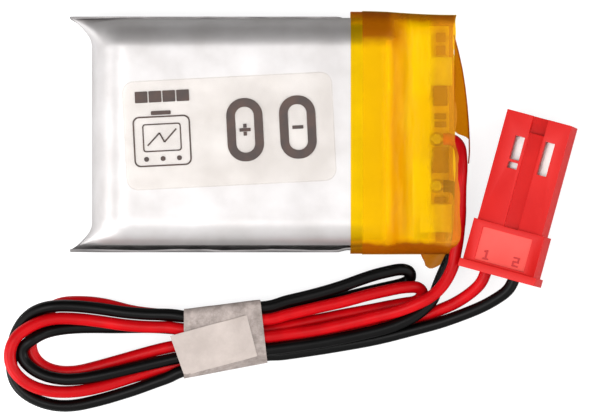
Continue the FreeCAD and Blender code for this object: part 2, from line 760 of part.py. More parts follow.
# =====================================================================
# Leads: one curve per colour, cut into lengths that follow different bodies
# =====================================================================
# Way-points of each lead's centre line, from the board to the plug: x, y, z
RED_PATH = [
    (14.299, -0.406, 1.820), (14.799, -0.406, 1.820), (15.299, -0.406, 1.820), (16.084, -0.490, 1.904), (16.633, -0.983, 2.136),
    (16.808, -1.717, 2.392), (16.851, -2.486, 2.605), (16.863, -3.272, 2.755), (16.866, -4.068, 2.832), (16.861, -4.868, 2.847),
    (16.849, -5.667, 2.822), (16.828, -6.465, 2.773), (16.796, -7.262, 2.712), (16.745, -8.058, 2.647), (16.664, -8.851, 2.584),
    (16.544, -9.640, 2.528), (16.380, -10.422, 2.483), (16.152, -11.188, 2.452), (15.844, -11.925, 2.433), (15.451, -12.622, 2.428),
    (14.956, -13.249, 2.448), (14.361, -13.780, 2.497), (13.687, -14.206, 2.508), (12.967, -14.545, 2.426), (12.241, -14.843, 2.269),
    (11.499, -15.103, 2.126), (10.734, -15.313, 2.021), (9.960, -15.498, 1.940), (9.186, -15.687, 1.871), (8.412, -15.881, 1.811),
    (7.637, -16.070, 1.756), (6.859, -16.253, 1.704), (6.081, -16.429, 1.656), (5.300, -16.598, 1.614), (4.515, -16.750, 1.580),
    (3.726, -16.882, 1.552), (2.936, -17.003, 1.533), (2.143, -17.112, 1.539), (1.351, -17.214, 1.587), (0.559, -17.311, 1.638),
    (-0.236, -17.396, 1.649), (-1.029, -17.500, 1.630), (-1.812, -17.664, 1.641), (-2.593, -17.827, 1.639), (-3.386, -17.859, 1.554),
    (-4.180, -17.847, 1.459), (-4.978, -17.865, 1.407), (-5.776, -17.914, 1.366), (-6.571, -17.995, 1.328), (-7.363, -18.099, 1.290),
    (-8.151, -18.235, 1.250), (-8.930, -18.408, 1.201), (-9.703, -18.604, 1.142), (-10.472, -18.815, 1.078), (-11.240, -19.033, 1.021),
    (-12.007, -19.254, 0.971), (-12.775, -19.473, 0.921), (-13.544, -19.689, 0.867), (-14.313, -19.900, 0.805), (-15.084, -20.100, 0.733),
    (-15.861, -20.271, 0.652), (-16.653, -20.360, 0.590), (-17.452, -20.338, 0.563), (-18.234, -20.179, 0.553), (-18.964, -19.856, 0.550),
    (-19.568, -19.338, 0.552), (-19.945, -18.639, 0.553), (-20.056, -17.849, 0.550), (-19.975, -17.059, 0.550), (-19.625, -16.342, 0.552),
    (-19.140, -15.707, 0.550), (-18.578, -15.138, 0.550), (-17.936, -14.666, 0.550), (-17.177, -14.428, 0.550), (-16.380, -14.365, 0.550),
    (-15.580, -14.372, 0.550), (-14.782, -14.425, 0.550), (-13.988, -14.529, 0.550), (-13.205, -14.689, 0.550), (-12.431, -14.892, 0.550),
    (-11.655, -15.088, 0.550), (-10.870, -15.237, 0.550), (-10.077, -15.344, 0.551), (-9.282, -15.426, 0.582), (-8.486, -15.496, 0.632),
    (-7.691, -15.567, 0.681), (-6.893, -15.625, 0.690), (-6.099, -15.534, 0.695), (-5.312, -15.425, 0.780), (-4.548, -15.331, 0.994),
    (-3.814, -15.330, 1.306), (-3.126, -15.562, 1.630), (-2.406, -15.874, 1.752), (-1.619, -15.981, 1.700), (-0.821, -15.936, 1.662),
    (-0.024, -15.876, 1.645), (0.770, -15.781, 1.634), (1.537, -15.557, 1.615), (2.310, -15.351, 1.583), (3.089, -15.172, 1.558),
    (3.869, -14.994, 1.558), (4.648, -14.810, 1.568), (5.427, -14.631, 1.577), (6.208, -14.455, 1.582), (6.985, -14.266, 1.588),
    (7.757, -14.055, 1.596), (8.527, -13.840, 1.602), (9.303, -13.644, 1.604), (10.084, -13.470, 1.603), (10.866, -13.302, 1.603),
    (11.651, -13.151, 1.617), (12.446, -13.080, 1.597), (13.192, -13.172, 1.355), (13.527, -13.726, 0.985), (13.030, -14.269, 0.786),
    (12.261, -14.455, 0.683), (11.475, -14.585, 0.612), (10.689, -14.730, 0.572), (9.905, -14.886, 0.559), (9.120, -15.042, 0.558),
    (8.333, -15.188, 0.559), (7.546, -15.329, 0.560), (6.759, -15.474, 0.560), (5.974, -15.628, 0.560), (5.190, -15.786, 0.560),
    (4.405, -15.944, 0.561), (3.621, -16.101, 0.564), (2.837, -16.260, 0.577), (2.055, -16.424, 0.612), (1.273, -16.585, 0.669),
    (0.485, -16.718, 0.690), (-0.311, -16.792, 0.708), (-1.106, -16.802, 0.796), (-1.886, -16.802, 0.968), (-2.626, -16.820, 1.270),
    (-3.372, -16.786, 1.548), (-4.163, -16.773, 1.665), (-4.959, -16.735, 1.730), (-5.756, -16.682, 1.763), (-6.556, -16.690, 1.769),
    (-7.351, -16.639, 1.768), (-8.143, -16.531, 1.730), (-8.940, -16.503, 1.681), (-9.739, -16.491, 1.639), (-10.538, -16.455, 1.629),
    (-11.336, -16.394, 1.621), (-12.132, -16.313, 1.604), (-12.923, -16.202, 1.573), (-13.714, -16.086, 1.534), (-14.506, -15.978, 1.510),
    (-15.300, -15.882, 1.513), (-16.097, -15.810, 1.537), (-16.895, -15.765, 1.571), (-17.693, -15.772, 1.612), (-18.484, -15.877, 1.657),
    (-19.253, -16.092, 1.706), (-19.982, -16.414, 1.763), (-20.660, -16.832, 1.832), (-21.249, -17.366, 1.885), (-21.645, -18.056, 1.867),
    (-21.818, -18.832, 1.807), (-21.737, -19.621, 1.751), (-21.390, -20.336, 1.699), (-20.859, -20.929, 1.642), (-20.210, -21.389, 1.582),
    (-19.485, -21.721, 1.526), (-18.716, -21.931, 1.474), (-17.925, -22.042, 1.425), (-17.128, -22.074, 1.374), (-16.331, -22.040, 1.314),
    (-15.540, -21.944, 1.242), (-14.758, -21.800, 1.159), (-13.984, -21.616, 1.077), (-13.216, -21.405, 0.998), (-12.457, -21.169, 0.909),
    (-11.702, -20.927, 0.798), (-10.945, -20.699, 0.679), (-10.179, -20.483, 0.595), (-9.409, -20.269, 0.580), (-8.636, -20.066, 0.622),
    (-7.862, -19.871, 0.671), (-7.090, -19.663, 0.690), (-6.321, -19.442, 0.690), (-5.568, -19.173, 0.690), (-4.812, -18.911, 0.690),
    (-4.046, -18.680, 0.690), (-3.268, -18.495, 0.690), (-2.484, -18.331, 0.690), (-1.699, -18.177, 0.690), (-0.914, -18.026, 0.690),
    (-0.127, -17.881, 0.690), (0.670, -17.820, 0.690), (1.466, -17.765, 0.652), (2.259, -17.666, 0.600), (3.050, -17.555, 0.572),
    (3.842, -17.439, 0.562), (4.633, -17.319, 0.559), (5.423, -17.193, 0.557), (6.211, -17.056, 0.558), (6.998, -16.913, 0.562),
    (7.785, -16.765, 0.571), (8.570, -16.612, 0.581), (9.354, -16.452, 0.588), (10.136, -16.285, 0.593), (10.918, -16.117, 0.596),
    (11.701, -15.954, 0.598), (12.485, -15.794, 0.605), (13.267, -15.627, 0.627), (14.036, -15.426, 0.714), (14.750, -15.152, 0.943),
    (15.446, -14.862, 1.210), (16.141, -14.542, 1.445), (16.806, -14.163, 1.676), (17.433, -13.733, 1.925), (18.019, -13.249, 2.172),
    (18.527, -12.668, 2.376), (18.858, -11.952, 2.491), (19.087, -11.187, 2.535), (19.297, -10.415, 2.547), (19.508, -9.644, 2.550),
    (19.716, -8.871, 2.550), (19.923, -8.098, 2.550), (20.147, -7.278, 2.550), (20.372, -6.458, 2.550),
]
BLACK_PATH = [
    (14.299, -4.423, 1.820), (14.799, -4.423, 1.820), (15.299, -4.423, 1.820), (16.085, -4.511, 1.773), (16.601, -5.032, 1.517),
    (16.757, -5.800, 1.371), (16.773, -6.599, 1.318), (16.732, -7.399, 1.302), (16.645, -8.196, 1.300), (16.492, -8.983, 1.300),
    (16.262, -9.750, 1.300), (15.956, -10.492, 1.300), (15.611, -11.215, 1.300), (15.274, -11.942, 1.304), (14.966, -12.682, 1.317),
    (14.688, -13.433, 1.364), (14.381, -14.163, 1.470), (13.858, -14.758, 1.572), (13.251, -15.274, 1.654), (12.577, -15.704, 1.686),
    (11.859, -16.060, 1.675), (11.115, -16.358, 1.647), (10.352, -16.603, 1.622), (9.579, -16.814, 1.602), (8.799, -17.000, 1.585),
    (8.016, -17.170, 1.574), (7.231, -17.332, 1.571), (6.445, -17.494, 1.575), (5.658, -17.648, 1.582), (4.870, -17.790, 1.592),
    (4.079, -17.923, 1.604), (3.286, -18.041, 1.616), (2.492, -18.148, 1.626), (1.697, -18.256, 1.632), (0.902, -18.354, 1.646),
    (0.105, -18.441, 1.672), (-0.691, -18.538, 1.686), (-1.475, -18.700, 1.722), (-2.257, -18.871, 1.764), (-3.056, -18.925, 1.785),
    (-3.857, -18.901, 1.778), (-4.658, -18.884, 1.775), (-5.459, -18.909, 1.755), (-6.255, -18.984, 1.695), (-7.047, -19.093, 1.635),
    (-7.835, -19.229, 1.585), (-8.618, -19.397, 1.548), (-9.400, -19.575, 1.539), (-10.181, -19.756, 1.547), (-10.961, -19.939, 1.560),
    (-11.742, -20.123, 1.571), (-12.523, -20.305, 1.579), (-13.305, -20.480, 1.578), (-14.089, -20.646, 1.570), (-14.877, -20.794, 1.553),
    (-15.670, -20.911, 1.533), (-16.468, -20.981, 1.516), (-17.269, -20.971, 1.497), (-18.062, -20.858, 1.470), (-18.832, -20.644, 1.428),
    (-19.559, -20.312, 1.371), (-20.206, -19.846, 1.311), (-20.699, -19.222, 1.283), (-20.759, -18.457, 1.375), (-20.283, -17.863, 1.593),
    (-19.626, -17.424, 1.528), (-18.966, -17.080, 1.234), (-18.232, -16.847, 1.018), (-17.454, -16.699, 0.897), (-16.662, -16.611, 0.807),
    (-15.868, -16.563, 0.711), (-15.071, -16.542, 0.620), (-14.272, -16.539, 0.566), (-13.470, -16.546, 0.550), (-12.668, -16.548, 0.550),
    (-11.867, -16.539, 0.550), (-11.065, -16.528, 0.550), (-10.263, -16.525, 0.550), (-9.462, -16.538, 0.572), (-8.663, -16.575, 0.621),
    (-7.865, -16.639, 0.671), (-7.067, -16.705, 0.690), (-6.268, -16.649, 0.690), (-5.475, -16.535, 0.690), (-4.683, -16.408, 0.690),
    (-3.897, -16.251, 0.690), (-3.123, -16.044, 0.690), (-2.365, -15.783, 0.690), (-1.588, -15.586, 0.690), (-0.798, -15.448, 0.690),
    (-0.002, -15.352, 0.690), (0.790, -15.231, 0.690), (1.569, -15.048, 0.642), (2.352, -14.882, 0.593), (3.138, -14.730, 0.559),
    (3.925, -14.577, 0.550), (4.712, -14.423, 0.550), (5.499, -14.268, 0.550), (6.284, -14.109, 0.550), (7.068, -13.940, 0.550),
    (7.849, -13.759, 0.550), (8.628, -13.569, 0.550), (9.407, -13.380, 0.550), (10.188, -13.198, 0.550), (10.971, -13.027, 0.551),
    (11.747, -12.828, 0.577), (12.404, -12.429, 0.738), (12.398, -11.807, 1.130), (11.691, -11.579, 1.365), (10.905, -11.688, 1.458),
    (10.123, -11.864, 1.490), (9.349, -12.069, 1.498), (8.586, -12.316, 1.500), (7.830, -12.584, 1.500), (7.076, -12.858, 1.500),
    (6.318, -13.117, 1.500), (5.552, -13.353, 1.500), (4.781, -13.573, 1.500), (4.006, -13.779, 1.501), (3.228, -13.972, 1.503),
    (2.447, -14.155, 1.514), (1.671, -14.352, 1.543), (0.913, -14.607, 1.598), (0.134, -14.770, 1.620), (-0.663, -14.834, 1.664),
    (-1.422, -14.914, 1.897), (-2.111, -15.003, 2.296), (-2.847, -15.100, 2.583), (-3.632, -15.203, 2.529), (-4.370, -15.301, 2.236),
    (-5.110, -15.398, 1.944), (-5.889, -15.501, 1.797), (-6.682, -15.612, 1.776), (-7.471, -15.512, 1.772), (-8.268, -15.438, 1.732),
    (-9.068, -15.423, 1.684), (-9.869, -15.405, 1.643), (-10.669, -15.360, 1.634), (-11.468, -15.292, 1.626), (-12.265, -15.203, 1.609),
    (-13.057, -15.086, 1.581), (-13.850, -14.971, 1.559), (-14.645, -14.866, 1.553), (-15.442, -14.778, 1.561), (-16.241, -14.713, 1.577),
    (-17.042, -14.681, 1.598), (-17.842, -14.696, 1.629), (-18.634, -14.799, 1.587), (-19.384, -15.028, 1.426), (-20.050, -15.397, 1.181),
    (-20.612, -15.913, 0.942), (-21.055, -16.548, 0.739), (-21.384, -17.266, 0.615), (-21.591, -18.039, 0.572), (-21.693, -18.833, 0.562),
    (-21.714, -19.634, 0.560), (-21.640, -20.432, 0.560), (-21.392, -21.191, 0.560), (-20.934, -21.845, 0.560), (-20.323, -22.361, 0.560),
    (-19.624, -22.752, 0.560), (-18.876, -23.036, 0.560), (-18.095, -23.217, 0.560), (-17.297, -23.288, 0.560), (-16.496, -23.260, 0.561),
    (-15.703, -23.145, 0.566), (-14.921, -22.972, 0.586), (-14.144, -22.780, 0.628), (-13.372, -22.569, 0.685), (-12.607, -22.338, 0.748),
    (-11.843, -22.103, 0.817), (-11.085, -21.855, 0.898), (-10.336, -21.586, 0.989), (-9.590, -21.309, 1.087), (-8.845, -21.041, 1.213),
    (-8.114, -20.759, 1.381), (-7.413, -20.413, 1.557), (-6.653, -20.201, 1.569), (-5.869, -20.070, 1.471), (-5.093, -19.923, 1.332),
    (-4.325, -19.777, 1.153), (-3.556, -19.632, 0.980), (-2.777, -19.484, 0.862), (-1.993, -19.336, 0.794), (-1.205, -19.187, 0.765),
    (-0.418, -19.038, 0.732), (0.371, -18.909, 0.701), (1.172, -18.883, 0.706), (1.970, -18.801, 0.706), (2.764, -18.690, 0.697),
    (3.557, -18.576, 0.685), (4.350, -18.459, 0.674), (5.143, -18.336, 0.671), (5.934, -18.208, 0.673), (6.725, -18.076, 0.684),
    (7.515, -17.941, 0.702), (8.304, -17.802, 0.726), (9.091, -17.650, 0.755), (9.874, -17.483, 0.796), (10.653, -17.300, 0.852),
    (11.426, -17.102, 0.920), (12.197, -16.895, 0.994), (12.968, -16.689, 1.075), (13.738, -16.485, 1.170), (14.505, -16.275, 1.269),
    (15.267, -16.043, 1.357), (16.021, -15.785, 1.449), (16.763, -15.512, 1.577), (17.493, -15.229, 1.750), (18.206, -14.929, 1.960),
    (18.898, -14.598, 2.195), (19.564, -14.223, 2.435), (20.211, -13.806, 2.658), (20.805, -13.298, 2.832), (21.212, -12.621, 2.930),
    (21.457, -11.859, 2.967), (21.665, -11.085, 2.978), (21.875, -10.311, 2.980), (22.087, -9.538, 2.980), (22.299, -8.765, 2.980),
    (22.524, -7.945, 2.980), (22.748, -7.125, 2.980),
]

LENGTHS = ["pack", "exit", "hank", "bend", "tail", "root", "plug"]
# Way-point numbers: the core's bare start, the ends of the seven jacketed lengths,
# and the core's bare end
RED_CUTS = [0, 2, 15, 18, 206, 211, 213, 216, 221, 223]
BLACK_CUTS = [0, 2, 10, 13, 201, 206, 211, 214, 219, 221]
CORE_SIDES = 12
RINGS_PER_LOFT = 12


def lead_curve(path):
    # smooth curve through the way-points, and its parameter at each of them
    points = [Vector(*point) for point in path]
    params = [0.0]
    for start, end in zip(points, points[1:]):
        params.append(params[-1] + start.distanceToPoint(end))
    curve = Part.BSplineCurve()
    curve.interpolate(Points=points, Parameters=params)
    return curve, params


def ring_frames(curve, stations):
    # centre, tangent and side direction, carried along the curve without twist
    frames = []
    side = None
    for station in stations:
        tangent = Vector(*curve.tangent(station)[0]).normalize()
        if side is None:
            side = tangent.cross(Vector(0, 0, 1))
            if side.Length < 0.1:
                side = tangent.cross(Vector(1, 0, 0))
        side = (side - tangent * side.dot(tangent)).normalize()
        frames.append((curve.value(station), tangent, side))
    return frames


def ring(frame, radius, sides=0):
    # circle, or a regular polygon when sides is given
    p, t, u = frame
    w = t.cross(u)
    if sides:
        angles = [2 * math.pi * (k % sides) / sides for k in range(sides + 1)]
        return Part.makePolygon([p + u * (radius * math.cos(angle)) + w * (radius * math.sin(angle))
                                 for angle in angles])
    edge = Part.Circle(Vector(0, 0, 0), Vector(0, 0, 1), radius).toShape()
    edge.Placement = Placement(FreeCAD.Matrix(
        u.x, w.x, t.x, p.x, u.y, w.y, t.y, p.y, u.z, w.z, t.z, p.z, 0, 0, 0, 1))
    return Part.Wire([edge])


def skin(frames, radius, sides=0):
    # lofted in short runs; a short remainder joins the last run
    rings = [ring(frame, radius, sides) for frame in frames]
    faces = []
    start, last = 0, len(rings) - 1
    while start < last:
        end = min(start + RINGS_PER_LOFT, last)
        if last - end < 4:
            end = last
        faces += Part.makeLoft(rings[start:end + 1], False, False).Faces
        start = end
    return faces


def pipe(curve, params, first, last, radius, bore=None, sides=0):
    # rod or tube along the curve, closed by flat ends square to it
    stations = []
    for i in range(first, last):
        stations += [params[i], (params[i] + params[i + 1]) / 2.0]
    stations.append(params[last])
    frames = ring_frames(curve, stations)
    faces = skin(frames, radius, sides)
    if bore:
        faces += skin(frames, bore)
    for frame in (frames[0], frames[-1]):
        if bore:
            rims = Part.Compound([ring(frame, radius), ring(frame, bore)])
            faces.append(Part.makeFace(rims, "Part::FaceMakerBullseye"))
        else:
            faces.append(Part.Face(ring(frame, radius, sides)))
    shell = Part.Shell(faces)
    shell.sewShape()
    solid = Part.Solid(shell)
    if not solid.isValid():
        solid.fix(1e-5, 1e-5, 1e-4)
    if solid.Volume < 0:
        solid.reverse()
    return solid


def make_lead(colour, path, cuts):
    curve, params = lead_curve(path)
    jacket_cuts = cuts[1:-1]
    core_cuts = [cuts[0]] + cuts[2:-2] + [cuts[-1]]
    for k, name in enumerate(LENGTHS):
        shape_node("%s_lead_%s" % (colour, name),
                   pipe(curve, params, jacket_cuts[k], jacket_cuts[k + 1],
                        DIM["lead_outside"] / 2.0, bore=DIM["lead_bore"] / 2.0))
        shape_node("%s_core_%s" % (colour, name),
                   pipe(curve, params, core_cuts[k], core_cuts[k + 1],
                        DIM["core_outside"] / 2.0, sides=CORE_SIDES))


make_lead("red", RED_PATH, RED_CUTS)
make_lead("black", BLACK_PATH, BLACK_CUTS)

# =====================================================================
# Paper band: a flat sleeve round the hank with its free tail on top
# =====================================================================
# Plan ends of the sleeve's inside at its left and right openings: back x, y then front x, y
BAND_LEFT = ((-6.92, -15.02), (-6.92, -20.90))
BAND_RIGHT = ((-0.30, -14.08), (0.28, -19.55))
BAND_TAIL = [(-8.1, -17.25), (-4.88, -16.35), (-1.52, -15.45), (-0.87, -18.3),
             (-0.56, -18.95), (-6.92, -20.55)]


def band_section(ends, offset):
    back, front = Vector(*ends[0]), Vector(*ends[1])
    across = (front - back).normalize()
    low = DIM["band_low"] + DIM["band_sheet"]
    corner = DIM["band_corner"] + offset
    return rounded_section(
        lambda distance, z: back + across * distance + Vector(0, 0, z),
        -offset, back.distanceToPoint(front) + offset,
        low - offset, low + DIM["band_inner_height"] + offset, corner, corner)


def make_band():
    film = DIM["band_sheet"]
    outer, hollow = [Part.makeLoft([band_section(BAND_LEFT, offset),
                                    band_section(BAND_RIGHT, offset)], True, True)
                     for offset in (film, 0.0)]
    top = DIM["band_low"] + 2 * film + DIM["band_inner_height"]
    tail = slab(BAND_TAIL, top, film)
    shape_node("paper_band", outer.cut(hollow).fuse(tail).removeSplitter())


make_band()

# =====================================================================
# Plug: two-way socket housing, drawn along +Y from its rear lip
# =====================================================================
PLUG_AT = Placement(Vector(DIM["plug_x"], DIM["plug_y"], DIM["plug_z"]),
                    Rotation(Vector(0, 0, 1), DIM["plug_turn"])
                    * Rotation(Vector(0, 1, 0), DIM["plug_roll"]))

# View windows over the contacts: centre x, centre y, dimension giving the length
WINDOWS = [("-1.18", "10.98", "window_left_long"), ("-1.18", "9.45", "window_dot_long"),
           ("1.45", "10.7", "window_right_long")]


def plug_body(label):
    body = new_body(label, "Dims.plug_x", "Dims.plug_y", "Dims.plug_z")
    body.Placement = PLUG_AT
    return body


def way_sketch(body, name, side, z, y="Dims.way_z"):
    # cross-section on the centre line of one contact way
    return sketch(body, name, "XZ_Plane", x="%d * Dims.way_pitch / 2" % side, y=y, z=z)


def make_housing():
    plug = plug_body("plug_housing")
    outline = sketch(plug, "nose_outline", "XZ_Plane", y="Dims.nose_low + Dims.nose_tall / 2",
                     z="-Dims.plug_length")
    rect(outline, "Dims.nose_wide", "Dims.nose_tall")
    nose = pad(plug, outline, "Dims.plug_length - 0.1", "nose_pad")
    doc.recompute()
    fillet(plug, "nose_rounds", nose, edges_along(nose.Shape, Vector(0, 1, 0)),
           "Dims.nose_round")
    outline = sketch(plug, "collar_outline", "XZ_Plane",
                     y="Dims.collar_low + Dims.collar_tall / 2", z="-Dims.collar_length")
    rect(outline, "Dims.collar_wide", "Dims.collar_tall")
    pad(plug, outline, "Dims.collar_length - 0.05", "collar_pad")
    outline = sketch(plug, "lip_outline", "XZ_Plane", y="Dims.lip_tall / 2",
                     z="-Dims.lip_length")
    rect(outline, "Dims.lip_wide", "Dims.lip_tall")
    pad(plug, outline, "Dims.lip_length", "lip_pad")

    # sunk panel on the collar, channel along the top and a deeper notch at the front
    nose_top = "Dims.nose_low + Dims.nose_tall"
    outline = sketch(plug, "panel_outline", y="Dims.panel_long / 2 + Dims.lip_length + 0.2",
                     z="Dims.collar_low + Dims.collar_tall")
    rect(outline, "Dims.panel_wide", "Dims.panel_long")
    pocket(plug, outline, "Dims.panel_deep", "panel_cut")
    outline = sketch(plug, "channel_outline", x="Dims.channel_x",
                     y="(Dims.plug_length + Dims.collar_length) / 2 + 0.5", z=nose_top)
    rect(outline, "Dims.channel_wide", "Dims.plug_length - Dims.collar_length + 1.0")
    pocket(plug, outline, "Dims.channel_deep", "channel_cut")
    outline = sketch(plug, "front_notch", x="Dims.channel_x", y="Dims.plug_length", z=nose_top)
    rect(outline, "Dims.channel_wide + 0.1", "Dims.notch_long")
    pocket(plug, outline, "Dims.channel_deep + 0.35", "front_notch_cut")

    # contact ways and pin holes
    for side, tag in ((-1, "one"), (1, "two")):
        outline = way_sketch(plug, "way_" + tag, side, "-Dims.cavity_depth")
        rect(outline, "Dims.cavity_wide", "Dims.cavity_tall")
        pocket(plug, outline, "Dims.cavity_depth + 1", "way_cut_" + tag, back=True)
        outline = way_sketch(plug, "pin_hole_" + tag, side, "-Dims.plug_length - 1")
        circle(outline, "Dims.pin_radius")
        pocket(plug, outline, "3 mm", "pin_hole_cut_" + tag, back=True)
    for i, (x, y, long) in enumerate(WINDOWS):
        outline = sketch(plug, "window_%d" % i, x=x, y=y, z=nose_top + " + 0.1")
        rect(outline, "Dims.window_wide", "Dims." + long)
        pocket(plug, outline, "1.6 mm", "window_cut_%d" % i)


def make_contact(side, tag):
    # crimped socket contact: square socket, floor spine, core crimp and jacket grip
    contact = plug_body("contact_" + tag)
    socket_end = "-Dims.socket_start - Dims.socket_length"
    crimp_end = "-Dims.crimp_start - Dims.crimp_length"
    outline = way_sketch(contact, "socket_" + tag, side, socket_end)
    rect(outline, "Dims.socket_wide", "Dims.socket_wide")
    pad(contact, outline, "Dims.socket_length", "socket_pad_" + tag)
    outline = way_sketch(contact, "spine_" + tag, side, "-Dims.spine_start - Dims.spine_length",
                         y="Dims.way_z - Dims.grip_radius + Dims.spine_tall / 2")
    rect(outline, "Dims.spine_wide", "Dims.spine_tall")
    pad(contact, outline, "Dims.spine_length", "spine_pad_" + tag)
    for piece, end in (("crimp", crimp_end), ("grip", "-Dims.grip_start - Dims.grip_length")):
        outline = way_sketch(contact, "%s_%s" % (piece, tag), side, end)
        circle(outline, "Dims.%s_radius" % piece)
        pad(contact, outline, "Dims.%s_length" % piece, "%s_pad_%s" % (piece, tag))
    for piece, end, depth in (("grip", "-Dims.crimp_start", "3 mm"),
                              ("crimp", crimp_end, "3 mm"),
                              ("socket", socket_end, "Dims.socket_length - Dims.socket_wall")):
        outline = way_sketch(contact, "%s_hole_%s" % (piece, tag), side, end)
        circle(outline, "Dims.%s_bore_radius" % piece)
        pocket(contact, outline, depth, "%s_cut_%s" % (piece, tag), back=True)


make_housing()
make_contact(-1, "red")
make_contact(1, "black")

# =====================================================================
# Recompute, check every object, write one file per node
# =====================================================================
doc.recompute()
bad = ["%s %s" % (item.Name, item.State) for item in doc.Objects
       if "Invalid" in item.State or "Error" in item.State]
for node in NODES:
    if node.Shape.isNull() or not node.Shape.isValid() or node.Shape.Volume <= 0:
        bad.append("%s has no valid solid" % node.Label)
if bad:
    raise RuntimeError("; ".join(bad))
os.makedirs("parts", exist_ok=True)
for node in NODES:
    node.Shape.exportStep("parts/%s.step" % node.Label)
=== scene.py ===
# A small pouch cell with its protection board under amber tape, a printed label, and two leads
# wound into a hank held by a paper band and ending in a red two-way plug.
# It lies flat on z = 0 and is seen from above. +X runs from the cell's folded end (left) to its
# open end with the board (right), -Y is the front, where the hank lies. Lengths are in
# millimetres and are turned into metres with MM; only lights and camera are given in metres.
import bpy
import bmesh
import math
import json
import numpy as np
from mathutils import Vector, Matrix, noise


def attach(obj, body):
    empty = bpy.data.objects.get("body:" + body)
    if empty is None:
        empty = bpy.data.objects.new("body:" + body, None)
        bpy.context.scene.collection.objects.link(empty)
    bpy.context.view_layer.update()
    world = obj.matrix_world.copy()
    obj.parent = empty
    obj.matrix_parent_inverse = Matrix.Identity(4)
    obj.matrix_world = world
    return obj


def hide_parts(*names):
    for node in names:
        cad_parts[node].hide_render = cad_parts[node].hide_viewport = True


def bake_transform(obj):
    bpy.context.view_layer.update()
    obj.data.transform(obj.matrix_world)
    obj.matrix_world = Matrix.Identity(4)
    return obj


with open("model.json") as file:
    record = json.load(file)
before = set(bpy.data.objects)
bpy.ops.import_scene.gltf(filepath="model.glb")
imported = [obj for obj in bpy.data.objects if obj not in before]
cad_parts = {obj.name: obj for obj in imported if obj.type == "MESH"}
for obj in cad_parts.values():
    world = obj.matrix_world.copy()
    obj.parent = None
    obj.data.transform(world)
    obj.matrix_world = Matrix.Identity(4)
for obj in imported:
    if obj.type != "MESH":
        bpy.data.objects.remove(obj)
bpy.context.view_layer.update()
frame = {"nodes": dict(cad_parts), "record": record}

MM = 0.001

CELL_TOP = 4.985
FOLDED_END_X = -14.80
OPEN_END_X = 11.95
OPEN_END_EDGE_Z = 0.75      # height of the cell where its open end closes
OPEN_END_ROUND = 2.1        # length over which the open end rounds off
POUCH_FLOOR_Z = 0.14


# ------------------------------------------------------------------ numbers and points
def smooth(t):
    t = min(1.0, max(0.0, t))
    return t * t * (3 - 2 * t)


def lerp(start, end, t):
    return start + (end - start) * t


def fbm(x, y, z=0.0):
    """Three layers of noise, each finer and weaker than the last."""
    total, weight = 0.0, 1.0
    for _ in range(3):
        total += weight * noise.noise(Vector((x, y, z)))
        x, y, z, weight = x * 2.1 + 3.7, y * 2.1 - 1.3, z * 2.1 + 0.9, weight * 0.5
    return total


def path_lengths(points):
    """Length along the path at each of its points."""
    return np.r_[0, np.cumsum(np.linalg.norm(np.diff(points, axis=0), axis=1))]


def unit(vectors):
    return vectors / np.maximum(np.linalg.norm(vectors, axis=-1), 1e-9)[..., None]


def ring_tangents(rings):
    return np.roll(rings, -1, axis=1) - np.roll(rings, 1, axis=1)


def arc(center_y, center_z, radius_y, radius_z, start, end, steps):
    """Points of an arc in the Y-Z plane, both ends included; angles in degrees."""
    points = []
    for k in range(steps + 1):
        angle = math.radians(lerp(start, end, k / steps))
        points.append((center_y + radius_y * math.cos(angle),
                       center_z + radius_z * math.sin(angle)))
    return points


def between(first, last, steps):
    """Evenly spaced points between two others, both ends left out."""
    return [(lerp(first[0], last[0], k / steps), lerp(first[1], last[1], k / steps))
            for k in range(1, steps)]


# ------------------------------------------------------------------ meshes
def mesh_object(name, verts, faces, material=None, flat=False):
    mesh = bpy.data.meshes.new(name)
    mesh.from_pydata([tuple(c * MM for c in vert) for vert in verts], [], faces)
    mesh.validate()
    mesh.update()
    obj = bpy.data.objects.new(name, mesh)
    bpy.context.scene.collection.objects.link(obj)
    if not flat:
        for polygon in mesh.polygons:
            polygon.use_smooth = True
    if material is not None:
        mesh.materials.append(material)
    return obj


def outward(obj):
    """Turn all face normals outwards."""
    work = bmesh.new()
    work.from_mesh(obj.data)
    bmesh.ops.recalc_face_normals(work, faces=work.faces[:])
    work.to_mesh(obj.data)
    work.free()
    obj.data.update()
    return obj


def sharpen(obj, degrees):
    """Mark edges sharp where the surface really turns."""
    work = bmesh.new()
    work.from_mesh(obj.data)
    limit = math.radians(degrees)
    for edge in work.edges:
        if len(edge.link_faces) == 2:
            edge.smooth = edge.calc_face_angle(0.0) < limit
    work.to_mesh(obj.data)
    work.free()


def solid(name, verts, faces, material, sharp_angle):
    obj = outward(mesh_object(name, verts, faces, material))
    sharpen(obj, sharp_angle)
    return obj


def bevel(obj, width, segments=2, degrees=30):
    modifier = obj.modifiers.new("edge", "BEVEL")
    modifier.width = width * MM
    modifier.segments = segments
    modifier.limit_method = "ANGLE"
    modifier.angle_limit = math.radians(degrees)
    modifier.use_clamp_overlap = True
    modifier.harden_normals = False


def apply_modifiers(obj):
    depsgraph = bpy.context.evaluated_depsgraph_get()
    mesh = bpy.data.meshes.new_from_object(obj.evaluated_get(depsgraph))
    old = obj.data
    obj.modifiers.clear()
    obj.data = mesh
    bpy.data.meshes.remove(old)


def ring_quads(rings, per_ring):
    """Faces joining closed rings of vertices, ring after ring."""
    quads = []
    for i in range(rings - 1):
        here, there = i * per_ring, (i + 1) * per_ring
        for j in range(per_ring):
            after = (j + 1) % per_ring
            quads.append((here + j, here + after, there + after, there + j))
    return quads


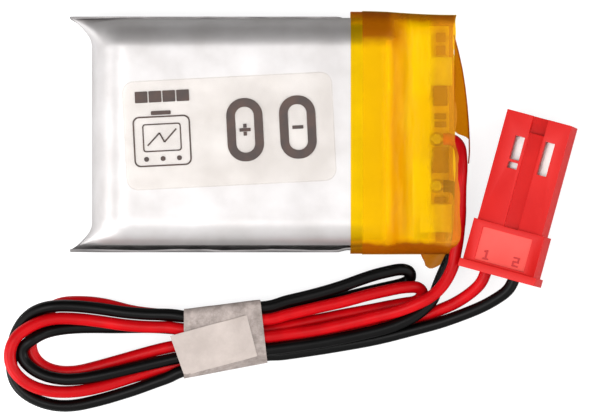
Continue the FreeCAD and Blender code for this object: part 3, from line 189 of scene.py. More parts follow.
def sleeve(name, inner, outer, material, sharp_angle):
    """Open-ended sleeve between an inner and an outer skin (rings x points x 3)."""
    rings, per_ring = inner.shape[:2]
    second = rings * per_ring
    verts = [tuple(point) for skin in (inner, outer) for point in skin.reshape(-1, 3)]
    faces = []
    for a, b, c, d in ring_quads(rings, per_ring):
        faces.append((a, b, c, d))
        faces.append((second + d, second + c, second + b, second + a))
    for ring in (0, rings - 1):
        start = ring * per_ring
        for j in range(per_ring):
            after = (j + 1) % per_ring
            faces.append((start + j, start + after, second + start + after, second + start + j))
    return solid(name, verts, faces, material, sharp_angle)


def sheet(name, rows, thickness, material, sharp_angle=60):
    """Thin solid from a grid of points; the second skin is set off along the surface normals,
    to the other side where the thickness is negative."""
    first = np.array(rows, float)
    row_count, per_row = first.shape[:2]
    normals = unit(np.cross(np.gradient(first, axis=0), np.gradient(first, axis=1)))
    other = first + normals * thickness
    verts = [tuple(point) for skin in (first, other) for point in skin.reshape(-1, 3)]
    second = row_count * per_row
    faces = []
    for i in range(row_count - 1):
        for j in range(per_row - 1):
            a, b = i * per_row + j, (i + 1) * per_row + j
            c, d = b + 1, a + 1
            faces.append((a, b, c, d))
            faces.append((second + d, second + c, second + b, second + a))
    border = ([i * per_row for i in range(row_count)]
              + [(row_count - 1) * per_row + j for j in range(1, per_row)]
              + [i * per_row + per_row - 1 for i in range(row_count - 2, -1, -1)]
              + list(range(per_row - 2, 0, -1)))
    for a, b in zip(border, border[1:] + border[:1]):
        faces.append((a, b, second + b, second + a))
    return solid(name, verts, faces, material, sharp_angle)


def register(piece, slot, body, *cad_nodes):
    if cad_nodes:
        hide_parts(*cad_nodes)
    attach(piece, body)


# ------------------------------------------------------------------ shader graphs
class Graph:
    """A node tree with its output node. Inputs take a value or the output socket to link."""

    def __init__(self, tree, output_kind):
        self.tree = tree
        tree.nodes.clear()
        self.output = self.node(output_kind)
        self.coords = None

    def node(self, kind, inputs=None, **settings):
        node = self.tree.nodes.new("ShaderNode" + kind)
        for key, value in settings.items():
            setattr(node, key, value)
        for key, value in (inputs or {}).items():
            if isinstance(value, bpy.types.NodeSocket):
                self.tree.links.new(value, node.inputs[key])
            else:
                node.inputs[key].default_value = value
        return node

    def surface(self, socket):
        self.tree.links.new(socket, self.output.inputs["Surface"])

    def object_coords(self):
        if self.coords is None:
            self.coords = self.node("TexCoord").outputs["Object"]
        return self.coords

    def math(self, operation, *operands):
        return self.node("Math", dict(enumerate(operands)), operation=operation).outputs[0]

    def vector_math(self, operation, inputs, output="Vector"):
        return self.node("VectorMath", inputs, operation=operation).outputs[output]

    def map_range(self, value, from_low, from_high, to_low=0.0, to_high=1.0, **settings):
        return self.node("MapRange", {
            "Value": value, "From Min": from_low, "From Max": from_high,
            "To Min": to_low, "To Max": to_high}, **settings).outputs["Result"]

    def mix_color(self, factor, first, second):
        return self.node("Mix", {0: factor, 6: first, 7: second}, data_type="RGBA").outputs[2]

    def mix_shader(self, factor, first, second):
        return self.node("MixShader", {0: factor, 1: first, 2: second}).outputs[0]

    def noise(self, scale, detail=2.0, roughness=0.5, output="Fac"):
        return self.node("TexNoise", {
            "Scale": scale, "Detail": detail, "Roughness": roughness,
            "Vector": self.object_coords()}).outputs[output]

    def mottle(self, base, fleck, scale, detail, low, high):
        """Flecks of a second colour where the noise rises from low to high."""
        return self.mix_color(self.map_range(self.noise(scale, detail), low, high), base, fleck)

    def bump(self, scale, detail, strength, distance):
        return self.node("Bump", {
            "Strength": strength, "Distance": distance * MM,
            "Height": self.noise(scale, detail)}).outputs["Normal"]

    def ramp(self, source, stops):
        """Colour ramp through (position, grey value or RGBA) stops in rising order."""
        node = self.node("ValToRGB", {0: source})
        elements = node.color_ramp.elements
        for position, _ in stops[1:-1]:
            elements.new(position)
        for element, (position, value) in zip(elements, stops):
            element.position = position
            element.color = value if isinstance(value, tuple) else (value, value, value, 1)
        return node.outputs["Color"]

    def grey(self, value):
        channels = {"Red": value, "Green": value, "Blue": value}
        return self.node("CombineColor", channels).outputs[0]


def new_material(name):
    material = bpy.data.materials.new(name)
    material.use_nodes = True
    return material, Graph(material.node_tree, "OutputMaterial")


def srgb(*channels):
    """Linear RGBA from sRGB channels of 0 to 255."""
    def linear(value):
        value = value / 255.0
        return value / 12.92 if value <= 0.04045 else ((value + 0.055) / 1.055) ** 2.4
    return tuple(linear(value) for value in channels) + (1.0,)


# ------------------------------------------------------------------ materials
def plain(name, color, fleck, fleck_scale, rough, metal=0.0, spec=0.5,
          bump=0.0, bump_scale=3000.0, rough_vary=0.0):
    """One surface: a colour, perhaps with flecks of a second one and a little relief."""
    material, graph = new_material(name)
    inputs = {"Base Color": srgb(*color), "Roughness": rough, "Metallic": metal,
              "Specular IOR Level": spec, "Coat Roughness": 0.1}
    if fleck is not None:
        inputs["Base Color"] = graph.mottle(srgb(*color), srgb(*fleck), fleck_scale,
                                            detail=4.0, low=0.35, high=0.70)
    if rough_vary:
        inputs["Roughness"] = graph.map_range(
            graph.noise(fleck_scale * 0.7), 0.0, 1.0,
            to_low=max(0.02, rough - rough_vary), to_high=rough + rough_vary)
    if bump:
        inputs["Normal"] = graph.bump(bump_scale, detail=5.0, strength=bump, distance=0.02)
    graph.surface(graph.node("BsdfPrincipled", inputs).outputs["BSDF"])
    return material


# Stops of (place in mm, amount or colour), along X or Y, for how much the tape hides
TAPE_X = (8.0, 17.0)
TAPE_Y = (-11.0, 11.0)
HIDING_ALONG_X = ((8.0, 0.20), (9.9, 0.20), (10.5, 0.34), (12.0, 0.42), (13.9, 0.34),
                  (14.4, 0.20), (16.0, 0.24), (17.0, 0.3))
TONE_ALONG_X = ((8.0, srgb(255, 196, 0)), (10.3, srgb(254, 188, 1)), (11.1, srgb(247, 166, 2)),
                (11.9, srgb(250, 180, 2)), (12.6, srgb(254, 206, 2)), (14.1, srgb(254, 200, 4)),
                (14.6, srgb(232, 158, 44)), (16.6, srgb(238, 160, 60)))
# Painted shade: a brown film body along both sides and in a patch at the back, where the cell's shoulders
# under the tape lie in shade
SHADED_SIDES_ALONG_Y = ((-11.0, 1.0), (-9.45, 1.0), (-8.95, 0.0), (9.25, 0.0), (9.8, 0.8), (11.0, 0.9))
SHADE_PATCH_ALONG_Y = ((-11.0, 0.0), (7.35, 0.0), (8.35, 1.0), (11.0, 1.0))
SHADE_PATCH_ALONG_X = ((8.0, 1.0), (10.7, 1.0), (12.1, 0.0), (17.0, 0.0))


def film_zones(graph, turn):
    """Crumpled film down the cell's end hides more of what is below: amount and tone by place. The brown body
    along both sides and in a patch at the back is painted shade over the cell's shaded shoulders.
    """
    def place_ramp(value, limits, stops):
        low, high = limits
        position = graph.map_range(value, low * MM, high * MM)
        return graph.ramp(position, [((place - low) / (high - low), content)
                                     for place, content in stops])

    # the zones' outlines wander a little
    wander = graph.noise(420.0, detail=3.0, output="Color")
    wander = graph.vector_math("SUBTRACT", {0: wander, 1: (0.5, 0.5, 0.5)})
    wander = graph.vector_math("SCALE", {0: wander, "Scale": 1.1 * MM})
    place = graph.vector_math("ADD", {0: graph.object_coords(), 1: wander})
    split = graph.node("SeparateXYZ", {0: place})
    x, y = split.outputs["X"], split.outputs["Y"]
    # painted shade along both side edges of the tape
    sides = place_ramp(y, TAPE_Y, SHADED_SIDES_ALONG_Y)
    # the inner turn has only the painted shade along its sides: a dim brown body there
    if turn == "inner":
        return (graph.mix_color(sides, (0.02, 0.02, 0.02, 1), (0.5, 0.5, 0.5, 1)),
                graph.mix_color(sides, srgb(254, 176, 3), srgb(140, 92, 8)))
    hiding = place_ramp(x, TAPE_X, HIDING_ALONG_X)
    tone = place_ramp(x, TAPE_X, TONE_ALONG_X)
    # painted shade in a patch over the shaded back shoulder
    shade_patch = graph.math("MULTIPLY", place_ramp(y, TAPE_Y, SHADE_PATCH_ALONG_Y),
                       place_ramp(x, TAPE_X, SHADE_PATCH_ALONG_X))
    painted_shade = graph.math("MAXIMUM", sides, shade_patch)
    # where the painted shade lies, the film hides more and turns dark brown
    return (graph.mix_color(painted_shade, hiding, (0.55, 0.55, 0.55, 1)),
            graph.mix_color(painted_shade, tone, srgb(158, 78, 5)))


def film(name, tint, gloss, rough, bump, body=None, body_amount=0.0, turn=None):
    """Clear coloured film: light passes straight through and is tinted, with a soft shine.
    A turn of tape takes its body colour and amount from its zones."""
    material, graph = new_material(name)
    # the tint deepens where the film is crossed at a slant, up to a limit
    geometry = graph.node("NewGeometry").outputs
    facing = graph.vector_math(
        "DOT_PRODUCT", {0: geometry["Normal"], 1: geometry["Incoming"]}, "Value")
    facing = graph.math("MAXIMUM", graph.math("ABSOLUTE", facing), 0.34)
    crossing = graph.math("DIVIDE", 1.0, facing)
    tinted = graph.node("CombineColor", {
        channel: graph.math("POWER", value ** 2, crossing)
        for channel, value in zip(("Red", "Green", "Blue"), tint)}).outputs[0]
    # only the camera sees the full tint; other light passes nearly unchanged
    camera_ray = graph.node("LightPath").outputs["Is Camera Ray"]
    color = graph.mix_color(camera_ray, (1.0, 0.995, 0.985, 1), tinted)
    shader = graph.node("BsdfTransparent", {"Color": color}).outputs["BSDF"]
    if turn:
        body_amount, body = film_zones(graph, turn)
    if body is not None:
        diffuse = graph.node("BsdfDiffuse", {"Color": body}).outputs["BSDF"]
        amount = graph.math("MULTIPLY", camera_ray, body_amount)
        shader = graph.mix_shader(amount, shader, diffuse)
    # the shine is only on the outside, so the light that comes back out isn't dulled twice
    normal = graph.bump(900.0, detail=3.0, strength=bump, distance=0.03)
    shine = graph.node("BsdfGlossy", {
        "Color": (1, 1, 1, 1), "Roughness": rough, "Normal": normal}).outputs["BSDF"]
    fresnel = graph.node("Fresnel", {"IOR": 1.45, "Normal": normal}).outputs["Fac"]
    backfacing = graph.node("NewGeometry").outputs["Backfacing"]
    amount = graph.math("MULTIPLY", graph.math("MULTIPLY", fresnel, gloss),
                        graph.math("SUBTRACT", 1.0, backfacing))
    graph.surface(graph.mix_shader(amount, shader, shine))
    return material


def insulation(name, base, fleck, rough, coat):
    """Soft lead insulation with faint grain."""
    material, graph = new_material(name)
    shader = graph.node("BsdfPrincipled", {
        "Base Color": graph.mottle(base, fleck, 420.0, detail=5.0, low=0.40, high=0.75),
        "Roughness": rough,
        "Specular IOR Level": 0.11,
        "Coat Weight": coat,
        "Coat Roughness": 0.25,
        "Normal": graph.bump(2600.0, detail=2.0, strength=0.12, distance=0.015)})
    graph.surface(shader.outputs["BSDF"])
    return material


def paper(name, low, high, clear, scale):
    """Thin off-white paper: mottled, with a little light coming through."""
    material, graph = new_material(name)
    fibres = graph.noise(scale, detail=8.0, roughness=0.75)
    sheet_shader = graph.node("BsdfPrincipled", {
        "Roughness": 0.62,
        "Base Color": graph.ramp(fibres, ((0.38, low), (0.66, high))),
        "Normal": graph.bump(2200.0, detail=6.0, strength=0.35, distance=0.03)}).outputs["BSDF"]
    through = graph.node("BsdfTransparent", {"Color": (1.0, 0.97, 0.95, 1)}).outputs["BSDF"]
    graph.surface(graph.mix_shader(clear, sheet_shader, through))
    return material


# Columns: finish, material name, colour, fleck colour (both sRGB), fleck scale, roughness, more
BATTERY_FINISHES = (
    ("laminate", "pouch_laminate", (203, 199, 198), (220, 217, 217), 260, 0.42,
     dict(metal=0.70, bump=0.15, bump_scale=1500, rough_vary=0.06)),
    # painted shade: the flat half with its seals is the same laminate as the formed half, made a darker grey
    # for the shade along the seal edges
    ("seal", "pouch_seal_painted_shade", (124, 121, 121), (156, 152, 152), 500, 0.42,
     dict(metal=0.55, bump=0.25, bump_scale=2500)),
    ("film_inside", "pouch_inner_face", (150, 150, 152), None, None, 0.5, {}),
    ("copper_foil", "anode_copper", (190, 120, 85), (150, 90, 62), 600, 0.4, dict(metal=0.8)),
    ("cathode_coat", "cathode_black", (52, 52, 55), (40, 40, 42), 900, 0.7, {}),
    ("separator_film", "separator_white", (235, 235, 230), (225, 225, 222), 700, 0.55, {}),
    ("tab_aluminium", "tab_aluminium", (225, 226, 228), (205, 206, 210), 900, 0.32,
     dict(metal=0.85)),
    ("nickel", "nickel_strip", (240, 236, 226), (228, 224, 212), 700, 0.38,
     dict(metal=0.35, bump=0.1)),
    ("seal_polymer", "tab_seal_polymer", (225, 220, 200), (214, 208, 186), 600, 0.5, {}),
    ("insulating_paper", "insulating_paper", (242, 236, 222), (228, 220, 202), 1500, 0.8,
     dict(bump=0.3)),
    ("board_green", "board_mask", (238, 214, 184), (222, 192, 156), 900, 0.45, {}),
    ("chip_black", "chip_body", (150, 112, 92), (132, 96, 80), 1200, 0.55, dict(bump=0.2)),
    ("resistor_black", "resistor_body", (140, 104, 90), (118, 84, 72), 1400, 0.4, {}),
    ("capacitor_tan", "capacitor_body", (176, 134, 104), (156, 112, 86), 1400, 0.45, {}),
    ("solder", "solder", (200, 200, 202), (180, 180, 184), 1500, 0.25,
     dict(metal=0.9, bump=0.3)),
)
METAL_AND_INK_FINISHES = (
    ("label_ink", "label_ink", (70, 58, 55), (88, 66, 58), 900, 0.5, {}),
    ("tinned_copper", "strand_bundle", (222, 190, 160), (205, 165, 130), 2500, 0.35,
     dict(metal=0.8)),
    ("contact_tin", "contact_tin", (238, 238, 234), (222, 222, 220), 1200, 0.3,
     dict(metal=0.35)),
)
PLUG_FINISHES = (
    ("plug_red", "plug_plastic", (222, 33, 29), (212, 24, 22), 300, 0.42,
     dict(spec=0.28, bump=0.08, bump_scale=1800)),
    ("plug_panel", "plug_panel", (246, 80, 70), (242, 72, 63), 500, 0.5, {}),
    ("plug_mark", "plug_mark", (196, 26, 28), (186, 22, 24), 900, 0.5, {}),
    ("wire_mark", "lead_mark", (92, 92, 92), (74, 74, 74), 2500, 0.5, {}),
)
FINISH = {}


def add_plain_finishes(rows):
    for finish, name, color, fleck, fleck_scale, rough, more in rows:
        FINISH[finish] = plain(name, color, fleck, fleck_scale, rough, **more)


add_plain_finishes(BATTERY_FINISHES)
FINISH["amber_tape"] = film("amber_tape", tint=(1.0, 0.895, 0.11), gloss=0.08, rough=0.25,
                            bump=0.15, turn="inner")
FINISH["tape_second"] = film("amber_tape_second", tint=(1.0, 0.985, 0.45), gloss=0.08,
                             rough=0.25, bump=0.15, turn="outer")
FINISH["tape_thick"] = film("amber_tape_stack", tint=(0.95, 0.74, 0.12), gloss=0.3, rough=0.25,
                            bump=0.3, body=srgb(158, 92, 10), body_amount=0.5)
FINISH["label_clear"] = film("label_clear_film", tint=(0.999, 0.994, 0.988), gloss=0.9,
                             rough=0.10, bump=0.05)
FINISH["label_rim"] = film("label_cut_edge", tint=(0.955, 0.945, 0.938), gloss=0.5,
                           rough=0.30, bump=0.05)
add_plain_finishes(METAL_AND_INK_FINISHES)
FINISH["red_insulation"] = insulation("lead_red", srgb(188, 4, 13), srgb(214, 8, 18),
                                      rough=0.34, coat=0.10)
FINISH["black_insulation"] = insulation("lead_black", srgb(3, 3, 3), srgb(8, 7, 7),
                                        rough=0.36, coat=0.12)
add_plain_finishes(PLUG_FINISHES)
FINISH["band_paper"] = paper("band_paper", srgb(152, 140, 134), srgb(202, 188, 182),
                             clear=0.16, scale=900.0)
FINISH["band_tail"] = paper("band_paper_tail", srgb(190, 177, 170), srgb(205, 192, 185),
                            clear=0.04, scale=420.0)

# carried-over CAD pieces take the finish made for their slot
slot_of = {part["node"]: part["material_slot"] for part in frame["record"]["subparts"]}
for node_name, cad_piece in frame["nodes"].items():
    cad_finish = FINISH[slot_of[node_name]]
    if cad_piece.material_slots:
        for material_slot in cad_piece.material_slots:
            material_slot.material = cad_finish
    else:
        cad_piece.data.materials.append(cad_finish)

# ------------------------------------------------------------------ leads
# Way-points (x, y, z) of each lead's middle line, from the board round the hank to the plug
RED_PATH = [
    (14.299, -0.406, 1.820), (14.799, -0.406, 1.820), (15.299, -0.406, 1.820), (16.084, -0.490, 1.904),
    (16.633, -0.983, 2.136), (16.808, -1.717, 2.392), (16.851, -2.486, 2.605), (16.863, -3.272, 2.755),
    (16.866, -4.068, 2.832), (16.861, -4.868, 2.847), (16.849, -5.667, 2.822), (16.828, -6.465, 2.773),
    (16.796, -7.262, 2.712), (16.745, -8.058, 2.647), (16.664, -8.851, 2.584), (16.544, -9.640, 2.528),
    (16.380, -10.422, 2.483), (16.152, -11.188, 2.452), (15.844, -11.925, 2.433), (15.451, -12.622, 2.428),
    (14.956, -13.249, 2.448), (14.361, -13.780, 2.497), (13.687, -14.206, 2.508), (12.967, -14.545, 2.426),
    (12.241, -14.843, 2.269), (11.499, -15.103, 2.126), (10.734, -15.313, 2.021), (9.960, -15.498, 1.940),
    (9.186, -15.687, 1.871), (8.412, -15.881, 1.811), (7.637, -16.070, 1.756), (6.859, -16.253, 1.704),
    (6.081, -16.429, 1.656), (5.300, -16.598, 1.614), (4.515, -16.750, 1.580), (3.726, -16.882, 1.552),
    (2.936, -17.003, 1.533), (2.143, -17.112, 1.539), (1.351, -17.214, 1.587), (0.559, -17.311, 1.638),
    (-0.236, -17.396, 1.649), (-1.029, -17.500, 1.630), (-1.812, -17.664, 1.641), (-2.593, -17.827, 1.639),
    (-3.386, -17.859, 1.554), (-4.180, -17.847, 1.459), (-4.978, -17.865, 1.407), (-5.776, -17.914, 1.366),
    (-6.571, -17.995, 1.328), (-7.363, -18.099, 1.290), (-8.151, -18.235, 1.250), (-8.930, -18.408, 1.201),
    (-9.703, -18.604, 1.142), (-10.472, -18.815, 1.078), (-11.240, -19.033, 1.021), (-12.007, -19.254, 0.971),
    (-12.775, -19.473, 0.921), (-13.544, -19.689, 0.867), (-14.313, -19.900, 0.805), (-15.084, -20.100, 0.733),
    (-15.861, -20.271, 0.652), (-16.653, -20.360, 0.590), (-17.452, -20.338, 0.563), (-18.234, -20.179, 0.553),
    (-18.964, -19.856, 0.550), (-19.568, -19.338, 0.552), (-19.945, -18.639, 0.553), (-20.056, -17.849, 0.550),
    (-19.975, -17.059, 0.550), (-19.625, -16.342, 0.552), (-19.140, -15.707, 0.550), (-18.578, -15.138, 0.550),
    (-17.936, -14.666, 0.550), (-17.177, -14.428, 0.550), (-16.380, -14.365, 0.550), (-15.580, -14.372, 0.550),
    (-14.782, -14.425, 0.550), (-13.988, -14.529, 0.550), (-13.205, -14.689, 0.550), (-12.431, -14.892, 0.550),
    (-11.655, -15.088, 0.550), (-10.870, -15.237, 0.550), (-10.077, -15.344, 0.551), (-9.282, -15.426, 0.582),
    (-8.486, -15.496, 0.632), (-7.691, -15.567, 0.681), (-6.893, -15.625, 0.690), (-6.099, -15.534, 0.695),
    (-5.312, -15.425, 0.780), (-4.548, -15.331, 0.994), (-3.814, -15.330, 1.306), (-3.126, -15.562, 1.630),
    (-2.406, -15.874, 1.752), (-1.619, -15.981, 1.700), (-0.821, -15.936, 1.662), (-0.024, -15.876, 1.645),
    (0.770, -15.781, 1.634), (1.537, -15.557, 1.615), (2.310, -15.351, 1.583), (3.089, -15.172, 1.558),
    (3.869, -14.994, 1.558), (4.648, -14.810, 1.568), (5.427, -14.631, 1.577), (6.208, -14.455, 1.582),
    (6.985, -14.266, 1.588), (7.757, -14.055, 1.596), (8.527, -13.840, 1.602), (9.303, -13.644, 1.604),
    (10.084, -13.470, 1.603), (10.866, -13.302, 1.603), (11.651, -13.151, 1.617), (12.446, -13.080, 1.597),
    (13.192, -13.172, 1.355), (13.527, -13.726, 0.985), (13.030, -14.269, 0.786), (12.261, -14.455, 0.683),
    (11.475, -14.585, 0.612), (10.689, -14.730, 0.572), (9.905, -14.886, 0.559), (9.120, -15.042, 0.558),
    (8.333, -15.188, 0.559), (7.546, -15.329, 0.560), (6.759, -15.474, 0.560), (5.974, -15.628, 0.560),
    (5.190, -15.786, 0.560), (4.405, -15.944, 0.561), (3.621, -16.101, 0.564), (2.837, -16.260, 0.577),
    (2.055, -16.424, 0.612), (1.273, -16.585, 0.669), (0.485, -16.718, 0.690), (-0.311, -16.792, 0.708),
    (-1.106, -16.802, 0.796), (-1.886, -16.802, 0.968), (-2.626, -16.820, 1.270), (-3.372, -16.786, 1.548),
    (-4.163, -16.773, 1.665), (-4.959, -16.735, 1.730), (-5.756, -16.682, 1.763), (-6.556, -16.690, 1.769),
    (-7.351, -16.639, 1.768), (-8.143, -16.531, 1.730), (-8.940, -16.503, 1.681), (-9.739, -16.491, 1.639),
    (-10.538, -16.455, 1.629), (-11.336, -16.394, 1.621), (-12.132, -16.313, 1.604), (-12.923, -16.202, 1.573),
    (-13.714, -16.086, 1.534), (-14.506, -15.978, 1.510), (-15.300, -15.882, 1.513), (-16.097, -15.810, 1.537),
    (-16.895, -15.765, 1.571), (-17.693, -15.772, 1.612), (-18.484, -15.877, 1.657), (-19.253, -16.092, 1.706),
    (-19.982, -16.414, 1.763), (-20.660, -16.832, 1.832), (-21.249, -17.366, 1.885), (-21.645, -18.056, 1.867),
    (-21.818, -18.832, 1.807), (-21.737, -19.621, 1.751), (-21.390, -20.336, 1.699), (-20.859, -20.929, 1.642),
    (-20.210, -21.389, 1.582), (-19.485, -21.721, 1.526), (-18.716, -21.931, 1.474), (-17.925, -22.042, 1.425),
    (-17.128, -22.074, 1.374), (-16.331, -22.040, 1.314), (-15.540, -21.944, 1.242), (-14.758, -21.800, 1.159),
    (-13.984, -21.616, 1.077), (-13.216, -21.405, 0.998), (-12.457, -21.169, 0.909), (-11.702, -20.927, 0.798),
    (-10.945, -20.699, 0.679), (-10.179, -20.483, 0.595), (-9.409, -20.269, 0.580), (-8.636, -20.066, 0.622),
    (-7.862, -19.871, 0.671), (-7.090, -19.663, 0.690), (-6.321, -19.442, 0.690), (-5.568, -19.173, 0.690),
    (-4.812, -18.911, 0.690), (-4.046, -18.680, 0.690), (-3.268, -18.495, 0.690), (-2.484, -18.331, 0.690),
    (-1.699, -18.177, 0.690), (-0.914, -18.026, 0.690), (-0.127, -17.881, 0.690), (0.670, -17.820, 0.690),
    (1.466, -17.765, 0.652), (2.259, -17.666, 0.600), (3.050, -17.555, 0.572), (3.842, -17.439, 0.562),
    (4.633, -17.319, 0.559), (5.423, -17.193, 0.557), (6.211, -17.056, 0.558), (6.998, -16.913, 0.562),
    (7.785, -16.765, 0.571), (8.570, -16.612, 0.581), (9.354, -16.452, 0.588), (10.136, -16.285, 0.593),
    (10.918, -16.117, 0.596), (11.701, -15.954, 0.598), (12.485, -15.794, 0.605), (13.267, -15.627, 0.627),
    (14.036, -15.426, 0.714), (14.750, -15.152, 0.943), (15.446, -14.862, 1.210), (16.141, -14.542, 1.445),
    (16.806, -14.163, 1.676), (17.433, -13.733, 1.925), (18.019, -13.249, 2.172), (18.527, -12.668, 2.376),
    (18.858, -11.952, 2.491), (19.087, -11.187, 2.535), (19.297, -10.415, 2.547), (19.508, -9.644, 2.550),
    (19.716, -8.871, 2.550), (19.923, -8.098, 2.550), (20.147, -7.278, 2.550), (20.372, -6.458, 2.550),
]
